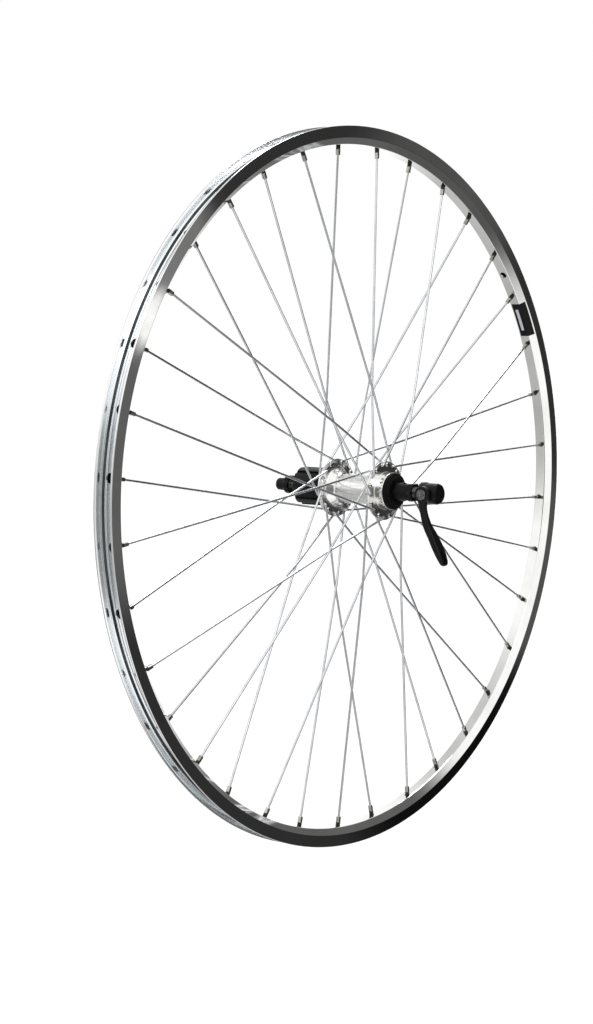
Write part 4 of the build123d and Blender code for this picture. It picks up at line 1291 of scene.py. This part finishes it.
@dataclass
class QuickRelease:
    """The skewer: cam housing, cam shaft, lever, rod, nut and springs. Sizes in mm."""

    collar: float = 9.7
    collar_length: float = 4.5
    housing: float = 9.1
    housing_bore: float = 6.2
    housing_end: float = 3.0
    pivot_y: float = -81.0
    journal: float = 3.7
    journal_clearance: float = 0.06
    neck: float = 2.15
    neck_half: float = 3.0
    cap: float = 4.6
    cap_height: float = 1.0
    cap_recess: Point = (1.6, 1.3)
    cap_recess_depth: float = 0.4
    boss: float = 7.4
    boss_x: Point = (-10.1, -13.9)
    drop: float = 61.0
    reach: float = 18.6
    inset: float = 7.2
    width: float = 12.6
    thickness: float = 9.5
    arm_steps: int = 60
    arm_sides: int = 40
    tip_steps: int = 5
    rod: float = 2.5
    rod_start: float = 5.0
    rod_thread: float = 60.0
    rod_pitch: float = 0.8
    rod_depth: float = 0.25
    eye: float = 5.4
    eye_bore: float = 3.1
    eye_half: float = 2.5
    nut_base: float = 8.3
    nut_base_length: float = 5.0
    nut_recess: float = 3.4
    nut_grip: float = 5.9
    nut_tip: float = 5.4
    scallops: int = 6
    scallop_radius: float = 2.2
    scallop_offset: float = 1.5
    spring_wire: float = 0.35
    spring_sides: int = 12
    spring_turns: float = 2.5
    spring_radii: Point = (5.6, 3.2)

    # shares of the arm's drop, reach, inset, width and thickness, from the boss to the tip
    STATIONS = (
        (0.066, 0.0, 0.0, 0.3, 1.0), (0.23, 0.07, 0.0, 0.333, 0.72), (0.426, 0.231, 0.167, 0.6, 0.68),
        (0.59, 0.473, 0.472, 0.86, 0.66), (0.77, 0.715, 0.75, 1.0, 0.62), (0.934, 0.93, 0.944, 0.833, 0.46),
        (1.0, 1.0, 1.0, 0.476, 0.295),
    )
    # the power that gives the arm's section its soft corners, and how far the tip closes
    CORNER_POWER = 0.6
    TIP_CLOSE = 0.75

    def arm_section(self, share: float) -> tuple[Vector, float, float]:
        """The arm's middle, width and thickness at a share of its length, smooth through its stations.

        Args:
            share: the share of the length, from the boss.

        Returns:
            The section's middle, its width and its thickness.
        """
        last = len(self.STATIONS) - 1
        i = min(int(share * last), last - 1)
        t = share * last - i
        rows = [self.STATIONS[max(0, min(last, i + step))] for step in (-1, 0, 1, 2)]
        drop, reach, inset, width, thickness = (
            b + 0.5 * t * (c - a + t * (2 * a - 5 * b + 4 * c - d + t * (3 * (b - c) + d - a)))
            for a, b, c, d in zip(*rows))
        middle_x = sum(self.boss_x) / 2
        middle = Vector((middle_x + inset * self.inset, self.pivot_y - reach * self.reach, -drop * self.drop))
        return middle, width * self.width, thickness * self.thickness

    def arm(self) -> Mesh:
        """The lever's arm: soft-cornered sections that widen into the paddle and close in a rounded tip.

        Returns:
            The arm's mesh, in place.
        """
        steps = self.arm_steps
        rings = []
        for i in range(steps + 1):
            middle, width, thickness = self.arm_section(i / steps)
            before = self.arm_section(max(i - 1, 0) / steps)[0]
            after = self.arm_section(min(i + 1, steps) / steps)[0]
            along = after - before
            along.x = 0.0
            along.normalize()
            over = Vector((0, -along.z, along.y))
            near_tip = max(0.0, (i - (steps - self.tip_steps)) / self.tip_steps)
            soft = (1 - self.TIP_CLOSE * near_tip**2) ** 0.5
            ring = []
            for j in range(self.arm_sides):
                turn = tau * j / self.arm_sides
                u, v = (abs(part) ** self.CORNER_POWER * (1 if part > 0 else -1) * size / 2 * soft
                        for part, size in ((cos(turn), width), (sin(turn), thickness)))
                ring.append(middle + Vector((1, 0, 0)) * u + over * v)
            rings.append(ring)
        return skin(rings)

    def build(self, shop: Workshop) -> None:
        """Makes the skewer's pieces.

        Args:
            shop: the workshop that presents the pieces.
        """
        self.build_head(shop)
        self.build_rod(shop)
        self.build_nut(shop)
        self.build_springs(shop)

    def build_head(self, shop: Workshop) -> None:
        """Makes the housing, the cam shaft with its cap and the lever.

        Args:
            shop: the workshop that presents the pieces.
        """
        end, face = span("cam_housing")
        floor, step = end + self.housing_end, face - self.collar_length
        outline = rounded([
            (0.0, floor, 0.0), (self.housing_bore, floor, 0.3), (self.housing_bore, face, 0.4),
            (self.collar, face, 0.5), (self.collar, step, 0.6), (self.housing, step, 0.4),
            (self.housing, end, 3.0), (0.0, end, 0.0)], 10)
        hole = (Vector((0, self.pivot_y, 0)), Vector((1, 0, 0)), self.journal + self.journal_clearance, 30.0)
        shop.present("cam_housing", shop.drill(lathe(outline, segments=96), [hole], BLACK_METAL), BLACK_METAL)
        inner, outer = self.boss_x
        top = self.cap_height - outer
        wide, narrow = self.cap_recess
        recess = top - self.cap_recess_depth
        shaft = rounded([
            (0.0, -self.housing, 0.0), (self.journal, -self.housing, 0.3),
            (self.journal, -self.neck_half, 0.0), (self.neck, -self.neck_half, 0.0),
            (self.neck, self.neck_half, 0.0), (self.journal, self.neck_half, 0.0),
            (self.journal, -outer, 0.0), (self.cap, -outer, 0.1), (self.cap, top, 0.35),
            (wide, top, 0.1), (narrow, recess, 0.1), (0.0, recess, 0.0)])
        shaft = lathe([(r, -x) for r, x in shaft], segments=64)
        shop.present("cam_shaft", across(shaft, self.pivot_y), CAM_STEEL)
        bore = self.journal + 0.02
        boss = rounded([
            (bore, inner, 0.1), (self.boss, inner, 0.5), (self.boss, outer, 0.9), (bore, outer, 0.2)])
        lever = joined(across(lathe(boss, segments=72), self.pivot_y), self.arm())
        shop.present("lever", lever, LEVER_METAL)

    def build_rod(self, shop: Workshop) -> None:
        """Makes the rod with its eye for the cam shaft and its thread for the nut.

        Args:
            shop: the workshop that presents the pieces.
        """
        start, end = span("skewer_rod")
        eye_y = start + self.eye
        stem_y = eye_y + self.rod_start
        thread = threaded(self.rod, self.rod_thread, end - 0.4, self.rod_pitch, self.rod_depth)
        stem = [(0.0, stem_y), (self.rod, stem_y), (self.rod, self.rod_thread), *thread,
                (self.rod - 0.5, end), (0.0, end)]
        ring = rounded([(self.eye_bore, -self.eye_half, 0.3), (self.eye, -self.eye_half, 0.5),
                        (self.eye, self.eye_half, 0.5), (self.eye_bore, self.eye_half, 0.3)])
        rod = joined(lathe(stem, segments=40), across(lathe(ring, segments=56), eye_y))
        shop.present("skewer_rod", rod, AXLE_STEEL)

    def build_nut(self, shop: Workshop) -> None:
        """Makes the scalloped nut.

        Args:
            shop: the workshop that presents the pieces.
        """
        face, end = span("skewer_nut")
        base_end, recess_end = face + self.nut_base_length, face + self.nut_recess
        slope_end = base_end + self.nut_base - self.nut_grip

        def scalloped(r: float, y: float, turn: float) -> float:
            """Six finger grooves in the base and the slope.

            Args:
                r: the outline's radius.
                y: the place along the axle.
                turn: the angle.

            Returns:
                The radius with the grooves.
            """
            if r < self.nut_grip - 0.2 or y > slope_end + 1.0:
                return r
            off = (turn + pi / self.scallops) % (tau / self.scallops) - pi / self.scallops
            centre = self.nut_base + self.scallop_offset
            rise = centre * sin(off)
            if abs(rise) >= self.scallop_radius:
                return r
            return min(r, centre * cos(off) - (self.scallop_radius**2 - rise**2) ** 0.5)

        bore = self.rod + 0.05
        outline = rounded([
            (bore, recess_end, 0.0), (self.housing_bore, recess_end, 0.2), (self.housing_bore, face, 0.3),
            (self.nut_base, face, 0.4), (self.nut_base, base_end, 0.6), (self.nut_grip, slope_end, 0.8),
            (self.nut_tip, end, 0.8), (self.rod + 0.9, end, 0.2), (bore, end - 0.7, 0.0)])
        shop.present("skewer_nut", lathe(outline, segments=144, shape=scalloped), BLACK_METAL)

    def build_springs(self, shop: Workshop) -> None:
        """Makes the two conical springs round the rod.

        Args:
            shop: the workshop that presents the pieces.
        """
        tree, given = shop.tree("coil", {
            "Wire": "Float", "Turns": "Float", "Large": "Float", "Small": "Float", "Height": "Float",
            "Start": "Vector", "Lie": "Rotation", "Paint": "Material"})
        coil = add_node(tree, "GeometryNodeCurveSpiral", {
            "Resolution": 40, "Rotations": given["Turns"], "Start Radius": given["Large"],
            "End Radius": given["Small"], "Height": given["Height"]})
        laid = add_node(tree, "GeometryNodeTransform", {
            "Geometry": coil, "Translation": given["Start"], "Rotation": given["Lie"]})
        shop.close_tree(tree, shop.wire(tree, laid, given["Wire"], self.spring_sides), given["Paint"])
        large, small = self.spring_radii
        for side in Side:
            low, high = span(side.node("spring"))
            large_y = low + self.spring_wire if side is Side.NONDRIVE else high - self.spring_wire
            mesh = shop.run(bpy.data.meshes.new("coil"), tree, {
                "Wire": self.spring_wire * MM, "Turns": self.spring_turns,
                "Large": large * MM, "Small": small * MM,
                "Height": (high - low - 2 * self.spring_wire) * MM, "Start": (0.0, large_y * MM, 0.0),
                "Lie": (side.value * pi / 2, 0.0, 0.0), "Paint": BEARING_STEEL.material()})
            shop.present(side.node("spring"), mesh, BEARING_STEEL)


def heading(azimuth: float, elevation: float) -> Vector:
    """The direction at an azimuth from -Y towards +X and an elevation, in degrees."""
    az, el = radians(azimuth), radians(elevation)
    return Vector((sin(az) * cos(el), -cos(az) * cos(el), sin(el)))


@dataclass(frozen=True)
class Shade:
    """A part of the room, painted over the ones before it, which only reflections see.

    Attributes:
        azimuth: its middle's direction, in degrees from -Y towards +X.
        elevation: its middle's height above the horizon, in degrees.
        core: half of the angle that it fills, in degrees.
        edge: half of the angle where it has faded out, in degrees.
        level: its brightness, of 1 for white.
    """

    azimuth: float
    elevation: float
    core: float
    edge: float
    level: float


ROOM = (
    # grey floor beyond the wheel
    Shade(165, -55, 10, 48, 0.56),
    Shade(-140, -31, 22, 48, 0.5),
    # pale grey straight before and behind the wheel, so that its flank seen square isn't lost in the white
    Shade(0, -2, 8, 21, 0.58),
    Shade(180, -2, 8, 21, 0.58),
    # the dim side of the room round the camera
    Shade(-57, -6, 24, 31, 0.18),
    # grey ceiling beyond the wheel
    Shade(170, 58, 5, 42, 0.66),
    # the dark side of the room, right of the camera, with its floor and ceiling
    Shade(68, -4, 30, 54, 0.12),
    Shade(40, -48, 16, 42, 0.1),
    Shade(58, 34, 10, 30, 0.13),
    Shade(53, -6, 14, 26, 0.03),
    # soft lights and gaps in it, which pass along the brake track
    Shade(45, -4, 2.5, 5.5, 0.12),
    Shade(55.2, 4.2, 1.2, 3.4, 0.085),
    Shade(57.5, -7.5, 1.8, 3.6, 0.09),
    Shade(55.3, -13, 2.2, 4.4, 0.005),
    Shade(46.8, 2.1, 0.8, 1.9, 0.2),
    Shade(46.2, 0.0, 0.5, 1.1, 1.15),
)


@dataclass
class Studio:
    """A white room with soft light and the camera. Sizes in metres, places in the photograph in pixels."""

    floor_z: float = -0.56
    floor_size: float = 60.0
    floor_glow: float = 0.14
    plain_level: float = 0.6
    mirror_level: float = 1.1
    azimuth: float = -52.155
    elevation: float = 4.92
    distance: float = 1.75686
    focal: float = 1976.52
    middle: Point = (296.5, 512.0)
    origin: Point = (356.37, 488.77)
    long_side: int = 1024
    sensor: float = 36.0

    def camera(self) -> None:
        """Puts the camera where the photograph was taken from, with the wheel's centre off its middle."""
        back = heading(self.azimuth, self.elevation)
        right = heading(self.azimuth + 90, 0)
        turned = Matrix((right, back.cross(right), back)).transposed()
        left = atan((self.origin[0] - self.middle[0]) / self.focal)
        turned = Matrix.Rotation(left, 3, turned.col[1]) @ turned
        down = atan((self.middle[1] - self.origin[1]) / self.focal)
        turned = Matrix.Rotation(-down, 3, turned.col[0]) @ turned
        data = bpy.data.cameras.new("camera")
        data.sensor_width = self.sensor
        data.lens = self.focal * self.sensor / self.long_side
        data.clip_end = 100.0
        obj = add_object("camera", data)
        obj.matrix_world = Matrix.Translation(back * self.distance) @ turned.to_4x4()
        bpy.context.scene.camera = obj

    def floor(self) -> None:
        """A pale floor well below the wheel, which keeps its soft shadow."""
        bm = bmesh.new()
        bmesh.ops.create_grid(bm, x_segments=1, y_segments=1, size=self.floor_size / 2)
        obj = add_object("floor", to_mesh(bm))
        obj.matrix_world = Matrix.Translation((0, 0, self.floor_z))
        obj.visible_glossy = False
        made = bpy.data.materials.new("pale_studio_floor")
        tree = empty_tree(made)
        paint = add_node(tree, "ShaderNodeBsdfPrincipled", {
            "Base Color": linear("#f4f4f4"), "Roughness": 0.9, "Specular IOR Level": 0.0,
            "Emission Color": linear("#ffffff"), "Emission Strength": self.floor_glow})
        add_node(tree, "ShaderNodeOutputMaterial", {"Surface": paint})
        obj.data.materials.append(made)

    def world(self) -> None:
        """White to the eye, at a plain level as light, and with darker parts in reflections."""
        made = bpy.data.worlds.new("white room")
        bpy.context.scene.world = made
        tree = empty_tree(made)
        path = add_node(tree, "ShaderNodeLightPath").outputs
        toward = add_node(tree, "ShaderNodeTexCoord").outputs["Generated"]
        room = add_node(tree, "ShaderNodeMapRange", {0: path["Is Diffuse Ray"], 3: 1.0, 4: self.plain_level})
        mirrored: float | Node = self.mirror_level
        for shade in ROOM:
            aim = heading(shade.azimuth, shade.elevation)
            facing = add_node(tree, "ShaderNodeVectorMath", {0: toward, 1: aim}, operation="DOT_PRODUCT")
            cover = add_node(tree, "ShaderNodeMapRange", {
                0: facing.outputs["Value"], 1: cos(radians(shade.edge)), 2: cos(radians(shade.core))},
                interpolation_type="SMOOTHSTEP")
            mirrored = add_node(tree, "ShaderNodeMix", {0: cover, 2: mirrored, 3: shade.level})
        level = add_node(tree, "ShaderNodeMix", {0: path["Is Glossy Ray"], 2: room, 3: mirrored})
        sky = add_node(tree, "ShaderNodeBackground", {"Color": linear("#ffffff"), "Strength": level})
        add_node(tree, "ShaderNodeOutputWorld", {"Surface": sky})

    def even_light(self, toward: Vector, strength: float, softness: float) -> None:
        """A very soft light from a direction.

        Args:
            toward: the direction that it comes from.
            strength: its strength.
            softness: the angle that it fills, in degrees.
        """
        data = bpy.data.lights.new("even light", "SUN")
        data.energy = strength
        data.angle = radians(softness)
        add_object("even light", data).matrix_world = toward.to_track_quat("Z", "Y").to_matrix().to_4x4()

    def key_light(self, place: Vector, size: float, power: float) -> None:
        """A square soft light that faces the wheel's centre.

        Args:
            place: where it stands, in metres.
            size: its side, in metres.
            power: its power, in watts.
        """
        data = bpy.data.lights.new("key light", "AREA")
        data.shape = "SQUARE"
        data.size = size
        data.energy = power
        turn = place.to_track_quat("Z", "Y").to_matrix().to_4x4()
        add_object("key light", data).matrix_world = Matrix.Translation(place) @ turn

    def build(self) -> None:
        """Sets up the room, the light and the camera."""
        bpy.context.scene.view_settings.view_transform = "Standard"
        self.world()
        self.floor()
        self.even_light(heading(128, 60), strength=1.5, softness=25)
        self.key_light(Vector((-1.6, -1.9, 2.2)), size=1.2, power=6.0)
        self.camera()


def main() -> None:
    """Builds the wheel and its studio."""
    logging.basicConfig(level=logging.INFO, format="%(message)s")
    shop = Workshop()
    for assembly in (Rim(), Lacing(), HubShell(), AxleSet(), Freehub(), QuickRelease()):
        assembly.build(shop)
    Studio().build()


if __name__ == "__main__":
    main()
